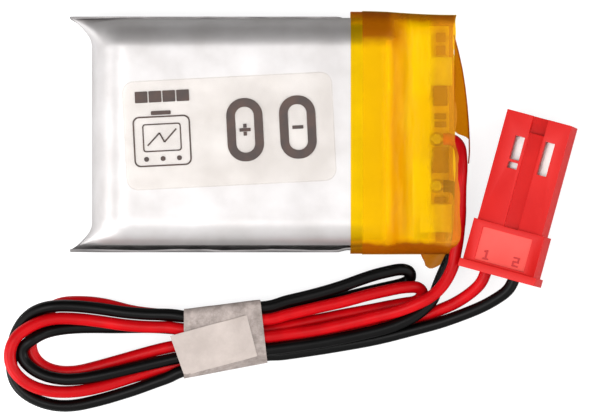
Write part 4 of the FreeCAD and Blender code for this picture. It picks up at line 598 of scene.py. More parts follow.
BLACK_PATH = [
    (14.299, -4.423, 1.820), (14.799, -4.423, 1.820), (15.299, -4.423, 1.820), (16.085, -4.511, 1.773),
    (16.601, -5.032, 1.517), (16.757, -5.800, 1.371), (16.773, -6.599, 1.318), (16.732, -7.399, 1.302),
    (16.645, -8.196, 1.300), (16.492, -8.983, 1.300), (16.262, -9.750, 1.300), (15.956, -10.492, 1.300),
    (15.611, -11.215, 1.300), (15.274, -11.942, 1.304), (14.966, -12.682, 1.317), (14.688, -13.433, 1.364),
    (14.381, -14.163, 1.470), (13.858, -14.758, 1.572), (13.251, -15.274, 1.654), (12.577, -15.704, 1.686),
    (11.859, -16.060, 1.675), (11.115, -16.358, 1.647), (10.352, -16.603, 1.622), (9.579, -16.814, 1.602),
    (8.799, -17.000, 1.585), (8.016, -17.170, 1.574), (7.231, -17.332, 1.571), (6.445, -17.494, 1.575),
    (5.658, -17.648, 1.582), (4.870, -17.790, 1.592), (4.079, -17.923, 1.604), (3.286, -18.041, 1.616),
    (2.492, -18.148, 1.626), (1.697, -18.256, 1.632), (0.902, -18.354, 1.646), (0.105, -18.441, 1.672),
    (-0.691, -18.538, 1.686), (-1.475, -18.700, 1.722), (-2.257, -18.871, 1.764), (-3.056, -18.925, 1.785),
    (-3.857, -18.901, 1.778), (-4.658, -18.884, 1.775), (-5.459, -18.909, 1.755), (-6.255, -18.984, 1.695),
    (-7.047, -19.093, 1.635), (-7.835, -19.229, 1.585), (-8.618, -19.397, 1.548), (-9.400, -19.575, 1.539),
    (-10.181, -19.756, 1.547), (-10.961, -19.939, 1.560), (-11.742, -20.123, 1.571), (-12.523, -20.305, 1.579),
    (-13.305, -20.480, 1.578), (-14.089, -20.646, 1.570), (-14.877, -20.794, 1.553), (-15.670, -20.911, 1.533),
    (-16.468, -20.981, 1.516), (-17.269, -20.971, 1.497), (-18.062, -20.858, 1.470), (-18.832, -20.644, 1.428),
    (-19.559, -20.312, 1.371), (-20.206, -19.846, 1.311), (-20.699, -19.222, 1.283), (-20.759, -18.457, 1.375),
    (-20.283, -17.863, 1.593), (-19.626, -17.424, 1.528), (-18.966, -17.080, 1.234), (-18.232, -16.847, 1.018),
    (-17.454, -16.699, 0.897), (-16.662, -16.611, 0.807), (-15.868, -16.563, 0.711), (-15.071, -16.542, 0.620),
    (-14.272, -16.539, 0.566), (-13.470, -16.546, 0.550), (-12.668, -16.548, 0.550), (-11.867, -16.539, 0.550),
    (-11.065, -16.528, 0.550), (-10.263, -16.525, 0.550), (-9.462, -16.538, 0.572), (-8.663, -16.575, 0.621),
    (-7.865, -16.639, 0.671), (-7.067, -16.705, 0.690), (-6.268, -16.649, 0.690), (-5.475, -16.535, 0.690),
    (-4.683, -16.408, 0.690), (-3.897, -16.251, 0.690), (-3.123, -16.044, 0.690), (-2.365, -15.783, 0.690),
    (-1.588, -15.586, 0.690), (-0.798, -15.448, 0.690), (-0.002, -15.352, 0.690), (0.790, -15.231, 0.690),
    (1.569, -15.048, 0.642), (2.352, -14.882, 0.593), (3.138, -14.730, 0.559), (3.925, -14.577, 0.550),
    (4.712, -14.423, 0.550), (5.499, -14.268, 0.550), (6.284, -14.109, 0.550), (7.068, -13.940, 0.550),
    (7.849, -13.759, 0.550), (8.628, -13.569, 0.550), (9.407, -13.380, 0.550), (10.188, -13.198, 0.550),
    (10.971, -13.027, 0.551), (11.747, -12.828, 0.577), (12.404, -12.429, 0.738), (12.398, -11.807, 1.130),
    (11.691, -11.579, 1.365), (10.905, -11.688, 1.458), (10.123, -11.864, 1.490), (9.349, -12.069, 1.498),
    (8.586, -12.316, 1.500), (7.830, -12.584, 1.500), (7.076, -12.858, 1.500), (6.318, -13.117, 1.500),
    (5.552, -13.353, 1.500), (4.781, -13.573, 1.500), (4.006, -13.779, 1.501), (3.228, -13.972, 1.503),
    (2.447, -14.155, 1.514), (1.671, -14.352, 1.543), (0.913, -14.607, 1.598), (0.134, -14.770, 1.620),
    (-0.663, -14.834, 1.664), (-1.422, -14.914, 1.897), (-2.111, -15.003, 2.296), (-2.847, -15.100, 2.583),
    (-3.632, -15.203, 2.529), (-4.370, -15.301, 2.236), (-5.110, -15.398, 1.944), (-5.889, -15.501, 1.797),
    (-6.682, -15.612, 1.776), (-7.471, -15.512, 1.772), (-8.268, -15.438, 1.732), (-9.068, -15.423, 1.684),
    (-9.869, -15.405, 1.643), (-10.669, -15.360, 1.634), (-11.468, -15.292, 1.626), (-12.265, -15.203, 1.609),
    (-13.057, -15.086, 1.581), (-13.850, -14.971, 1.559), (-14.645, -14.866, 1.553), (-15.442, -14.778, 1.561),
    (-16.241, -14.713, 1.577), (-17.042, -14.681, 1.598), (-17.842, -14.696, 1.629), (-18.634, -14.799, 1.587),
    (-19.384, -15.028, 1.426), (-20.050, -15.397, 1.181), (-20.612, -15.913, 0.942), (-21.055, -16.548, 0.739),
    (-21.384, -17.266, 0.615), (-21.591, -18.039, 0.572), (-21.693, -18.833, 0.562), (-21.714, -19.634, 0.560),
    (-21.640, -20.432, 0.560), (-21.392, -21.191, 0.560), (-20.934, -21.845, 0.560), (-20.323, -22.361, 0.560),
    (-19.624, -22.752, 0.560), (-18.876, -23.036, 0.560), (-18.095, -23.217, 0.560), (-17.297, -23.288, 0.560),
    (-16.496, -23.260, 0.561), (-15.703, -23.145, 0.566), (-14.921, -22.972, 0.586), (-14.144, -22.780, 0.628),
    (-13.372, -22.569, 0.685), (-12.607, -22.338, 0.748), (-11.843, -22.103, 0.817), (-11.085, -21.855, 0.898),
    (-10.336, -21.586, 0.989), (-9.590, -21.309, 1.087), (-8.845, -21.041, 1.213), (-8.114, -20.759, 1.381),
    (-7.413, -20.413, 1.557), (-6.653, -20.201, 1.569), (-5.869, -20.070, 1.471), (-5.093, -19.923, 1.332),
    (-4.325, -19.777, 1.153), (-3.556, -19.632, 0.980), (-2.777, -19.484, 0.862), (-1.993, -19.336, 0.794),
    (-1.205, -19.187, 0.765), (-0.418, -19.038, 0.732), (0.371, -18.909, 0.701), (1.172, -18.883, 0.706),
    (1.970, -18.801, 0.706), (2.764, -18.690, 0.697), (3.557, -18.576, 0.685), (4.350, -18.459, 0.674),
    (5.143, -18.336, 0.671), (5.934, -18.208, 0.673), (6.725, -18.076, 0.684), (7.515, -17.941, 0.702),
    (8.304, -17.802, 0.726), (9.091, -17.650, 0.755), (9.874, -17.483, 0.796), (10.653, -17.300, 0.852),
    (11.426, -17.102, 0.920), (12.197, -16.895, 0.994), (12.968, -16.689, 1.075), (13.738, -16.485, 1.170),
    (14.505, -16.275, 1.269), (15.267, -16.043, 1.357), (16.021, -15.785, 1.449), (16.763, -15.512, 1.577),
    (17.493, -15.229, 1.750), (18.206, -14.929, 1.960), (18.898, -14.598, 2.195), (19.564, -14.223, 2.435),
    (20.211, -13.806, 2.658), (20.805, -13.298, 2.832), (21.212, -12.621, 2.930), (21.457, -11.859, 2.967),
    (21.665, -11.085, 2.978), (21.875, -10.311, 2.980), (22.087, -9.538, 2.980), (22.299, -8.765, 2.980),
    (22.524, -7.945, 2.980), (22.748, -7.125, 2.980),
]
# Way-point numbers where the parts of each lead begin and end; the core sticks out at both ends
RED_CUTS = dict(core_start=0, lead_start=2, hank_start=18, hank_end=206, bend_end=212,
                lead_end=221, core_end=223)
BLACK_CUTS = dict(core_start=0, lead_start=2, hank_start=13, hank_end=201, bend_end=208,
                  lead_end=219, core_end=221)
STEPS_PER_POINT = 5
LEAD_SIDES = 20
INSULATION_RADIUS = 0.515
BORE_RADIUS = 0.27
CORE_RADIUS = 0.24
PLUG_TURN = 15.3            # degrees, clockwise from +Y
PLUG_BASE = np.array([20.456, -12.287, 0.62])
PLUG_AXIS = np.array([math.sin(math.radians(PLUG_TURN)), math.cos(math.radians(PLUG_TURN)), 0.0])


def smooth_curve(points, steps):
    """Natural cubic spline through the way-points, with so many steps between each two."""
    knots = np.array(points, float)
    count = len(knots)
    spans = np.diff(path_lengths(knots))
    system = np.zeros((count, count))
    target = np.zeros((count, 3))
    system[0, 0] = system[-1, -1] = 1
    for i in range(1, count - 1):
        system[i, i - 1:i + 2] = spans[i - 1], 2 * (spans[i - 1] + spans[i]), spans[i]
        target[i] = 3 * ((knots[i + 1] - knots[i]) / spans[i]
                         - (knots[i] - knots[i - 1]) / spans[i - 1])
    square = np.linalg.solve(system, target)
    curve = []
    for i in range(count - 1):
        slope = ((knots[i + 1] - knots[i]) / spans[i]
                 - spans[i] * (2 * square[i] + square[i + 1]) / 3)
        cube = (square[i + 1] - square[i]) / (3 * spans[i])
        for k in range(steps):
            t = spans[i] * k / steps
            curve.append(knots[i] + slope * t + square[i] * t * t + cube * t ** 3)
    curve.append(knots[-1])
    return np.array(curve)


def carried_frames(curve):
    """Two directions square to the curve at each point, carried along it without twist."""
    tangents = unit(np.gradient(curve, axis=0))
    side = unit(np.cross(tangents[0], [0, 0, 1.0]))
    sides = []
    for tangent in tangents:
        side = unit(side - tangent * np.dot(side, tangent))
        sides.append(side)
    sides = np.array(sides)
    return sides, np.cross(tangents, sides)


def tube(name, wire, first, last, radius, bore, material):
    """Round length of a wire from step first to last, hollow if it has a bore."""
    curve, sides, ups = wire
    angles = [2 * math.pi * j / LEAD_SIDES for j in range(LEAD_SIDES)]

    def ring_verts(ring_radius):
        return [curve[i] + (sides[i] * math.cos(angle) + ups[i] * math.sin(angle)) * ring_radius
                for i in range(first, last + 1) for angle in angles]

    rings = last - first + 1
    quads = ring_quads(rings, LEAD_SIDES)
    verts, faces = ring_verts(radius), list(quads)
    inside = len(verts)
    if bore:
        verts += ring_verts(bore)
        faces += [(inside + a, inside + d, inside + c, inside + b) for a, b, c, d in quads]
    for start, turn in ((0, 1), ((rings - 1) * LEAD_SIDES, -1)):
        if bore:
            for j in range(LEAD_SIDES):
                here, after = start + j, start + (j + 1) % LEAD_SIDES
                faces.append((here, inside + here, inside + after, after)[::turn])
        else:
            faces.append(tuple(range(start, start + LEAD_SIDES))[::-turn])
    return solid(name, verts, faces, material, 50)


def build_lead(color, wire, cuts):
    """Insulation and core, each in four lengths: the middle one is attached to the hank, the other three are
    baked in place.
    """
    hank_from = cuts["hank_start"] + 6    # a little past the exit bend
    hank_to = cuts["hank_end"] - 3        # a little before the bend to the plug
    plug_blend = [tuple((PLUG_BASE - PLUG_AXIS * distance) * MM) for distance in (2.05, 0.35)]
    for kind, radius, bore, slot in (
            ("lead", INSULATION_RADIUS, BORE_RADIUS, "%s_insulation" % color),
            ("core", CORE_RADIUS, 0.0, "tinned_copper")):
        # length name, first and last way-point, CAD lengths replaced, blend between bodies
        lengths = (
            ("exit", cuts[kind + "_start"], hank_from, ("pack", "exit"),
             ("pack", "hank", (0, -9.75 * MM, 0), (0, -11.45 * MM, 0))),
            ("hank", hank_from, hank_to, ("hank",), None),
            ("bend", hank_to, cuts["bend_end"], ("bend",),
             ("hank", "tail", (12.4 * MM, -15.9 * MM, 0), (15.9 * MM, -14.9 * MM, 0))),
            ("plug", cuts["bend_end"], cuts[kind + "_end"], ("tail", "root", "plug"),
             ("tail", "plug", *plug_blend)),
        )
        for length, first, last, replaced, blend in lengths:
            prefix = "%s_%s_" % (color, kind)
            piece = tube(prefix + length + "_length", wire, first * STEPS_PER_POINT,
                         last * STEPS_PER_POINT, radius, bore, FINISH[slot])
            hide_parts(*(prefix + part for part in replaced))
            if blend:
                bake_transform(piece)
            else:
                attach(piece, "hank")


hank_curves = []
for lead_color, way_points, lead_cuts in (("red", RED_PATH, RED_CUTS),
                                          ("black", BLACK_PATH, BLACK_CUTS)):
    lead_curve = smooth_curve(way_points, STEPS_PER_POINT)
    if lead_color == "red":
        # a hair closer to the cell where the plug passes when the hank is lifted
        for point in lead_curve:
            if point[0] > 14:
                point[0] -= 0.11 * smooth((point[1] + 11.4) / 1.4) * smooth((-2.6 - point[1]) / 2.2)
    build_lead(lead_color, (lead_curve, *carried_frames(lead_curve)), lead_cuts)
    # the band is wrapped round these parts, each with one point more to close its last step
    hank_curves.append(lead_curve[lead_cuts["hank_start"] * STEPS_PER_POINT:
                                  lead_cuts["hank_end"] * STEPS_PER_POINT + 1])


# ------------------------------------------------------------------ cell pouch
POUCH_FRONT = 9.50          # half widths of the formed half
POUCH_BACK = 9.95
POUCH_STEPS = 84
END_SHARE = 0.22            # share of the steps spent on each end
FOLDED_END_LENGTH = 3.2
OPEN_END_LENGTH = 3.6
SEAL_X = -14.78             # left end of the flat half
SEAL_Y = 10.12
SEAL_CORNER = 0.6
SEAL_BOTTOM_Z = 0.02
SEAL_THICKNESS = 0.13
# per side wall: top, direction towards the cell, waviness, wave phase, drop at the folded end,
# and the noise rows of its depth and its height
SEAL_WALLS = {"front": (2.86, 1, 0.09, 0.6, 1.45, 3.0, 5.0),
              "back": (2.88, -1, 0.05, 2.0, 0.75, 8.0, 1.0)}


def pouch_section(top, front_shoulder, back_shoulder, corner):
    """Closed rounded Y-Z section, from the middle of the underside round by the back."""
    low = POUCH_FLOOR_Z + corner
    back_z = max(low + 0.02, top - back_shoulder)
    front_z = max(low + 0.02, top - front_shoulder)
    points = [(0.0, POUCH_FLOOR_Z)]
    points += between((0, POUCH_FLOOR_Z), (POUCH_BACK - corner, POUCH_FLOOR_Z), 26)
    points += arc(POUCH_BACK - corner, low, corner, corner, -90, 0, 6)
    points += between((POUCH_BACK, low), (POUCH_BACK, back_z), 6)
    for k in range(15):     # the back shoulder is a little flatter than round
        angle = math.radians(90 * k / 14)
        points.append((POUCH_BACK - back_shoulder + back_shoulder * math.cos(angle) ** 1.14,
                       back_z + (top - back_z) * math.sin(angle) ** 1.14))
    points += between((POUCH_BACK - back_shoulder, top), (-POUCH_FRONT + front_shoulder, top), 52)
    points += arc(-POUCH_FRONT + front_shoulder, front_z, front_shoulder, top - front_z,
                  90, 180, 14)
    points += between((-POUCH_FRONT, front_z), (-POUCH_FRONT, low), 6)
    points += arc(-POUCH_FRONT + corner, low, corner, corner, 180, 270, 6)
    points += between((-POUCH_FRONT + corner, POUCH_FLOOR_Z), (0, POUCH_FLOOR_Z), 26)
    return points


def ear_reach(y):
    """How far the folded end reaches out past the cell, 0 in the middle to 1 at the sides."""
    return min(1.0, max(0.0, (abs(y) - 7.7) / 2.3)) ** 1.6


def open_end_height(x):
    """Height of the cell's rounded open end."""
    inside = OPEN_END_X - x
    if inside <= 0:
        rise = 0.0
    elif inside > OPEN_END_ROUND:
        rise = 1.0
    else:
        rise = math.sqrt(max(0.0, 1 - (1 - inside / OPEN_END_ROUND) ** 2))
    return lerp(OPEN_END_EDGE_Z, CELL_TOP, rise)


def folded_end_height(x):
    inside = x - FOLDED_END_X
    rise = 1.0 if inside > 3.3 else max(0.0, 1 - (1 - inside / 3.3) ** 2.5) ** 0.58
    return lerp(0.95, CELL_TOP, rise)


def pouch_station(t):
    """X of a section; they crowd towards both ends."""
    if t < END_SHARE:
        return FOLDED_END_X + FOLDED_END_LENGTH * (t / END_SHARE) ** 1.7
    if t > 1 - END_SHARE:
        return OPEN_END_X - OPEN_END_LENGTH * ((1 - t) / END_SHARE) ** 1.5
    return lerp(FOLDED_END_X + FOLDED_END_LENGTH, OPEN_END_X - OPEN_END_LENGTH,
                (t - END_SHARE) / (1 - 2 * END_SHARE))


def end_faces(start, count):
    """Narrow faces closing one end, from the underside up to the top, pair by pair."""
    faces = []
    half = count // 2
    for side in (1, -1):
        j = 0
        while j < half - j - 1:
            face = [start + (side * k) % count for k in (j, j + 1, half - j - 1, half - j)]
            if face[1] == face[2]:
                face = [face[0], face[1], face[3]]
            faces.append(tuple(face))
            j += 1
    return faces


def build_pouch():
    verts = []
    for i in range(POUCH_STEPS + 1):
        station_x = pouch_station(i / POUCH_STEPS)
        top = min(folded_end_height(station_x), open_end_height(station_x))
        height = top - POUCH_FLOOR_Z
        shoulder = min(2.5, height * 0.62)
        section = pouch_section(top, min(shoulder, 2.2), shoulder, min(0.5, height * 0.3))
        pull = smooth(1 - (station_x - FOLDED_END_X) / FOLDED_END_LENGTH)
        for y, z in section:
            # the corners of the folded end stretch and flatten into its ears
            ear = ear_reach(y) * pull
            x = station_x - (1.86 if y > 0 else 1.62) * ear
            flat_z = lerp(z, POUCH_FLOOR_Z + (z - POUCH_FLOOR_Z) * 0.75, ear)
            # soft hand-made unevenness of the laminate, strongest near the upper side edges
            upper = smooth((z - 1.5) / 2.5)
            uneven = (0.035 * fbm(x * 0.16 + 4.0, y * 0.22, 0.3)
                      + 0.012 * fbm(x * 0.7, y * 0.7 + 9, 1.3)
                      + 0.03 * smooth((abs(y) - 7.0) / 2.0) * fbm(x * 0.9 + 2.0, y * 0.2, 4.0)
                      - 0.02) * upper
            verts.append((x, y, min(flat_z + uneven, CELL_TOP)))
    count = len(section)
    faces = ring_quads(POUCH_STEPS + 1, count)
    faces += end_faces(0, count) + end_faces(POUCH_STEPS * count, count)
    return solid("pouch_formed_half", verts, faces, FINISH["laminate"], 60)


def seal_profile():
    """(y, z, wall) from the front seal's top edge, down, under, and up the back seal."""
    inner_y = SEAL_Y - SEAL_CORNER
    profile = [(-SEAL_Y, lerp(SEAL_WALLS["front"][0], 0.62, k / 12), "front") for k in range(13)]
    profile += [(y, z, None) for y, z in arc(-inner_y, 0.62, SEAL_CORNER, SEAL_CORNER,
                                             180, 270, 8)[1:-1]]
    profile += [(lerp(-inner_y, inner_y, k / 60), SEAL_BOTTOM_Z, None) for k in range(61)]
    profile += [(y, z, None) for y, z in arc(inner_y, 0.62, SEAL_CORNER, SEAL_CORNER,
                                             270, 360, 8)[1:-1]]
    profile += [(SEAL_Y, lerp(0.62, SEAL_WALLS["back"][0], k / 12), "back") for k in range(13)]
    return profile


def build_seals():
    """Flat half of the pouch: one sheet under the cell with both side seals folded up."""
    rows = []
    profile = seal_profile()
    for i in range(111):
        station_x = lerp(SEAL_X, OPEN_END_X, i / 110)
        pull = smooth((-11.6 - station_x) / 3.1)
        row = []
        for start_y, start_z, wall in profile:
            # narrower towards the open end, where the tape goes round
            narrowing = (0.17 * smooth((station_x - 6.2) / 0.9)
                         * smooth((abs(start_y) - 9.0) / 0.8))
            x = station_x - 1.90 * ear_reach(start_y) * pull
            y = start_y - math.copysign(narrowing, start_y)
            z = start_z
            if wall:
                _, inward, wave, phase, drop, depth_row, height_row = SEAL_WALLS[wall]
                up = (start_z - 0.6) / 2.3
                y += inward * (0.02 + wave * up * (0.5 + 0.5 * math.sin(station_x * 0.8 + phase))
                               + 0.03 * up * fbm(station_x * 0.7, depth_row))
                z -= pull * up * drop * smooth((-11.6 - station_x) / 2.6)
                z += 0.05 * fbm(station_x * 0.5, height_row) * up - 0.05 * up
                # the cut edge leans in a little
                y += inward * 0.06 * up * up
            row.append((x, y, max(0.005, z)))
        rows.append(row)
    # its finish is the laminate made darker grey as painted shade
    return sheet("pouch_flat_half", rows, SEAL_THICKNESS, FINISH["seal"], sharp_angle=40)


register(build_pouch(), "laminate", "pack", "pouch_cup")
register(build_seals(), "laminate", "pack", "pouch_cover")

# ------------------------------------------------------------------ label
LABEL_CENTER = (-2.99, 0.24)
LABEL_TURN = math.radians(2.9)
LABEL_SIZE = (17.9, 9.3)
LABEL_Z = (5.002, 5.046)
PRINT_Z = (5.049, 5.066)


def to_label(x, y, z):
    cos, sin = math.cos(LABEL_TURN), math.sin(LABEL_TURN)
    return LABEL_CENTER[0] + x * cos - y * sin, LABEL_CENTER[1] + x * sin + y * cos, z


def plate(name, outline, heights, material, holes=()):
    """Flat cut-out with its outline and holes given in label coordinates."""
    bottom, top = heights
    work = bmesh.new()
    edges = []
    for loop in (outline, *holes):
        verts = [work.verts.new([c * MM for c in to_label(x, y, bottom)]) for x, y in loop]
        edges += [work.edges.new(pair) for pair in zip(verts, verts[1:] + verts[:1])]
    bmesh.ops.triangle_fill(work, use_beauty=True, use_dissolve=False, edges=edges)
    extruded = bmesh.ops.extrude_face_region(work, geom=list(work.faces))
    upper = [item for item in extruded["geom"] if isinstance(item, bmesh.types.BMVert)]
    bmesh.ops.translate(work, verts=upper, vec=(0, 0, (top - bottom) * MM))
    bmesh.ops.recalc_face_normals(work, faces=work.faces[:])
    mesh = bpy.data.meshes.new(name)
    work.to_mesh(mesh)
    work.free()
    obj = bpy.data.objects.new(name, mesh)
    bpy.context.scene.collection.objects.link(obj)
    mesh.materials.append(material)
    return obj


def rounded(center_x, center_y, width, height, radius, steps):
    """Rectangle with rounded corners, so many steps in each."""
    points = []
    for side_x, side_y, start in ((1, -1, -90), (1, 1, 0), (-1, 1, 90), (-1, -1, 180)):
        for k in range(steps + 1):
            angle = math.radians(start + 90 * k / steps)
            points.append((center_x + side_x * (width / 2 - radius) + radius * math.cos(angle),
                           center_y + side_y * (height / 2 - radius) + radius * math.sin(angle)))
    return points


def stroke(start, end, width):
    """Outline of a straight line of the given width."""
    run_x, run_y = end[0] - start[0], end[1] - start[1]
    length = math.hypot(run_x, run_y)
    x, y = -run_y / length * width / 2, run_x / length * width / 2
    return [(start[0] + x, start[1] + y), (start[0] - x, start[1] - y),
            (end[0] - x, end[1] - y), (end[0] + x, end[1] + y)]


def build_label():
    label = plate("label_clear", rounded(0, 0, *LABEL_SIZE, 1.0, 10), LABEL_Z,
                  FINISH["label_clear"])
    # the cut edge of the film shows as a fine line, slightly lower than the face
    label.data.materials.append(FINISH["label_rim"])
    work = bmesh.new()
    work.from_mesh(label.data)
    top_faces = [face for face in work.faces if face.normal.z > 0.9]
    rim = bmesh.ops.inset_region(work, faces=top_faces, thickness=0.085 * MM, depth=0.0,
                                 use_even_offset=True)["faces"]
    for face in rim:
        face.material_index = 1
    outer = {v for face in rim for v in face.verts} - {v for face in top_faces for v in face.verts}
    for vert in outer:
        vert.co.z -= 0.018 * MM
    for face in work.faces:
        if abs(face.normal.z) < 0.5:
            face.material_index = 1
    work.to_mesh(label.data)
    work.free()
    bevel(label, 0.008)
    apply_modifiers(label)
    return label


def build_print():
    marks = []

    def mark(outline, *holes):
        marks.append(plate("mark", outline, PRINT_Z, FINISH["label_ink"], holes))

    # charge bar in four blocks
    for k in range(4):
        mark(rounded(-7.35 + k * 1.18, 3.25, 1.08, 0.97, 0.06, 3))
    # plain outline of a small cell with its cap, an inner frame and a zigzag line
    cell_x = -5.75
    mark(rounded(cell_x, -0.55, 4.9, 4.3, 0.55, 6), rounded(cell_x, -0.55, 4.64, 4.04, 0.44, 6))
    mark(rounded(cell_x, 1.86, 1.7, 0.34, 0.10, 3))
    mark(rounded(cell_x, -0.25, 3.3, 2.4, 0.25, 5), rounded(cell_x, -0.25, 3.08, 2.18, 0.17, 5))
    zigzag = ((-7.0, -0.9), (-5.95, 0.15), (-5.55, -0.65), (-4.5, 0.45))
    for start, end in zip(zigzag, zigzag[1:]):
        mark(stroke(start, end, 0.13))
    for dot_x in (-7.15, cell_x, -4.35):
        mark(rounded(dot_x, -2.05, 0.42, 0.42, 0.20, 6))
    # two capsule rings with plus and minus
    for x, y, plus in ((1.35, 0.05, True), (5.85, 0.05, False)):
        mark(rounded(x, y, 3.1, 5.4, 1.5, 12), rounded(x, y, 1.6, 3.9, 0.78, 12))
        mark(rounded(x, y, 0.95, 0.30, 0.05, 3))
        if plus:
            mark(rounded(x, y + 0.34, 0.30, 0.34, 0.04, 3))
            mark(rounded(x, y - 0.34, 0.30, 0.34, 0.04, 3))
    bpy.ops.object.select_all(action="DESELECT")
    for obj in marks:
        obj.select_set(True)
    bpy.context.view_layer.objects.active = marks[0]
    bpy.ops.object.join()
    joined = bpy.context.view_layer.objects.active
    joined.name = "label_marks"
    return joined


register(build_label(), "label_clear", "pack", "label_film")
register(build_print(), "label_ink", "pack", "label_print")

# ------------------------------------------------------------------ amber tape
TAPE_THICKNESS = 0.045
TAPE_CORNER = 0.45
BOARD_DRAPE_Z = 1.28
DRAPE_MARGIN = 0.45
# Plan boxes of what lies under the tape: x0, x1, y0, y1, height above the board's drape
BOARD_PARTS = (
    (12.65, 14.25, 3.45, 8.55, 0.22), (12.65, 14.25, -7.2, -2.1, 0.22),
    (14.4, 15.7, -3.3, -1.1, 0.78), (14.4, 15.7, 2.45, 4.15, 0.68),
    (14.55, 15.55, 0.6, 1.8, 0.38), (14.55, 15.55, -5.85, -5.35, 0.38),
    (14.7, 15.5, 6.8, 8.7, 0.62), (14.6, 15.5, -9.3, -8.5, 0.62),
    (13.3, 16.1, 4.2, 6.6, 0.36), (13.3, 16.1, -8.4, -6.0, 0.36),
    (14.2, 16.6, -1.0, 0.2, 1.22), (14.2, 16.6, -5.05, -3.8, 1.22),
)
# The tape's fall (x, z) from the cell's shoulder to the board's parts, then nearly level
TAPE_FALL = ((9.9, 5.02), (10.35, 4.96), (10.9, 4.72), (11.5, 4.25), (12.1, 3.72),
             (12.7, 3.22), (13.3, 2.92), (14.2, 2.78), (15.2, 2.70), (17.0, 2.62))
# Plan path (x, y) of the loose end, from the back to the front
CURL_PATH = ((16.25, 8.5), (16.62, 7.1), (16.95, 5.6), (17.2, 4.0), (17.38, 2.4),
             (17.5, 0.9), (17.57, -0.5), (17.58, -1.6), (17.5, -2.5))
# Front edge (x, y) of the tag
TAG_EDGE = ((13.35, -10.15), (13.5, -10.55), (13.72, -10.95), (13.78, -11.25), (14.1, -11.5),
            (14.4, -11.5), (14.8, -11.32), (15.15, -11.12), (15.45, -10.82), (15.62, -10.5),
            (15.6, -10.15))


def over_board(x, y):
    """Height of the drape over the board's parts."""
    z = BOARD_DRAPE_Z
    margin = DRAPE_MARGIN
    for x0, x1, y0, y1, height in BOARD_PARTS:
        in_x = smooth((x - x0 + margin) / margin) * smooth((x1 + margin - x) / margin)
        in_y = smooth((y - y0 + margin) / margin) * smooth((y1 + margin - y) / margin)
        z = max(z, BOARD_DRAPE_Z + height * in_x * in_y)
    return z


def tape_top(x, y, lift):
    """Height of the tape's underside over the cell, down its end and over the board."""
    z = float(np.interp(x, *zip(*TAPE_FALL)))
    past_cell = smooth((x - 12.6) / 1.2)
    z += past_cell * (0.10 * fbm(x * 0.7, y * 0.35, 2.0) - 0.06 * math.sin(y * 0.9 + x))
    z = max(z, over_board(x, y) + 0.28)
    # over the leads along the open end
    over_leads = smooth((x - 15.1) / 1.0) * smooth((-0.6 - y) / 1.4) * smooth((y + 10.4) / 1.0)
    z = lerp(z, 3.44, over_leads)
    # creases down the cell's end
    creased = smooth((x - 9.7) / 0.8) * smooth((13.6 - x) / 1.4)
    z += creased * (0.06 * math.sin(y * 0.7 + x * 3.1) + 0.08 * fbm(x * 1.3, y * 0.35, 5.0)
                    + 0.05 * fbm(x * 2.6, y * 0.9, 8.0))
    # tucked corner at the back
    z -= 0.35 * smooth((x - 10.6) / 1.2) * smooth((y - 7.6) / 1.6) * smooth((13.0 - x) / 1.0)
    return max(z, open_end_height(x) + 0.035) + lift


def tape_section(x, lift, front, back):
    """Closed Y-Z section of the tape: underside, back side, top drape, front side."""
    bottom = -0.012 - lift
    low = bottom + TAPE_CORNER
    corner = TAPE_CORNER
    # the drape meets the sides by a shoulder whose size follows the height there
    back_top = tape_top(x, back - 1.8, lift)
    front_top = tape_top(x, -front + 1.8, lift)
    back_shoulder = min(2.3, (back_top - bottom) * 0.55)
    front_shoulder = min(2.3, (front_top - bottom) * 0.55)
    points = [(0.0, bottom)]
    points += between((0, bottom), (back - corner, bottom), 22)
    points += arc(back - corner, low, corner, corner, -90, 0, 6)
    points += between((back, low), (back, back_top - back_shoulder), 6)
    points += arc(back - back_shoulder, back_top - back_shoulder,
                  back_shoulder, back_shoulder, 0, 90, 10)
    last_y = points[-1][0]
    points[-1] = (last_y, tape_top(x, last_y, lift))
    drape_steps = 56
    for k in range(1, drape_steps):
        y = lerp(back - back_shoulder, -front + front_shoulder, k / drape_steps)
        weight = min(1.0, k / 5.0, (drape_steps - k) / 5.0)
        edge_z = back_top if k < drape_steps / 2 else front_top
        points.append((y, lerp(edge_z, tape_top(x, y, lift), weight)))
    points += arc(-front + front_shoulder, front_top - front_shoulder,
                  front_shoulder, front_shoulder, 90, 180, 10)
    points += between((-front, front_top - front_shoulder), (-front, low), 6)
    points += arc(-front + corner, low, corner, corner, 180, 270, 6)
    points += between((-front + corner, bottom), (0, bottom), 22)
    return points


def build_tape(name, start_x, end_x, lift, steps, material):
    rings = []
    for i in range(steps + 1):
        x = lerp(start_x, end_x, i / steps)
        back = 10.43 - 0.28 * smooth((x - 8.0) / 8.0) + lift
        rings.append([(x, y, z) for y, z in tape_section(x, lift, 10.18 + lift, back)])
    inner = np.array(rings, float)
    tangents = ring_tangents(inner)
    normals = np.stack([np.zeros(tangents.shape[:2]), tangents[:, :, 2], -tangents[:, :, 1]],
                       axis=2)
    outer = inner + unit(normals) * TAPE_THICKNESS
    for skin in (inner, outer):
        # the open end reaches further out where it lies over the leads
        for ring in skin:
            for vert in ring:
                x, y, z = vert
                vert[0] += (0.34 * smooth((x - 15.0) / 1.2) * smooth((-0.6 - y) / 1.6)
                            * smooth((y + 9.9) / 0.9) * smooth((z - 1.9) / 0.6))
        # ragged cut edge on the open end, straight factory edge on the other
        for j in range(skin.shape[1]):
            skin[-1, j, 0] += 0.10 * math.sin(j * 0.21) + 0.06 * math.sin(j * 0.57 + 1)
    return sleeve(name, inner, outer, material, 50)


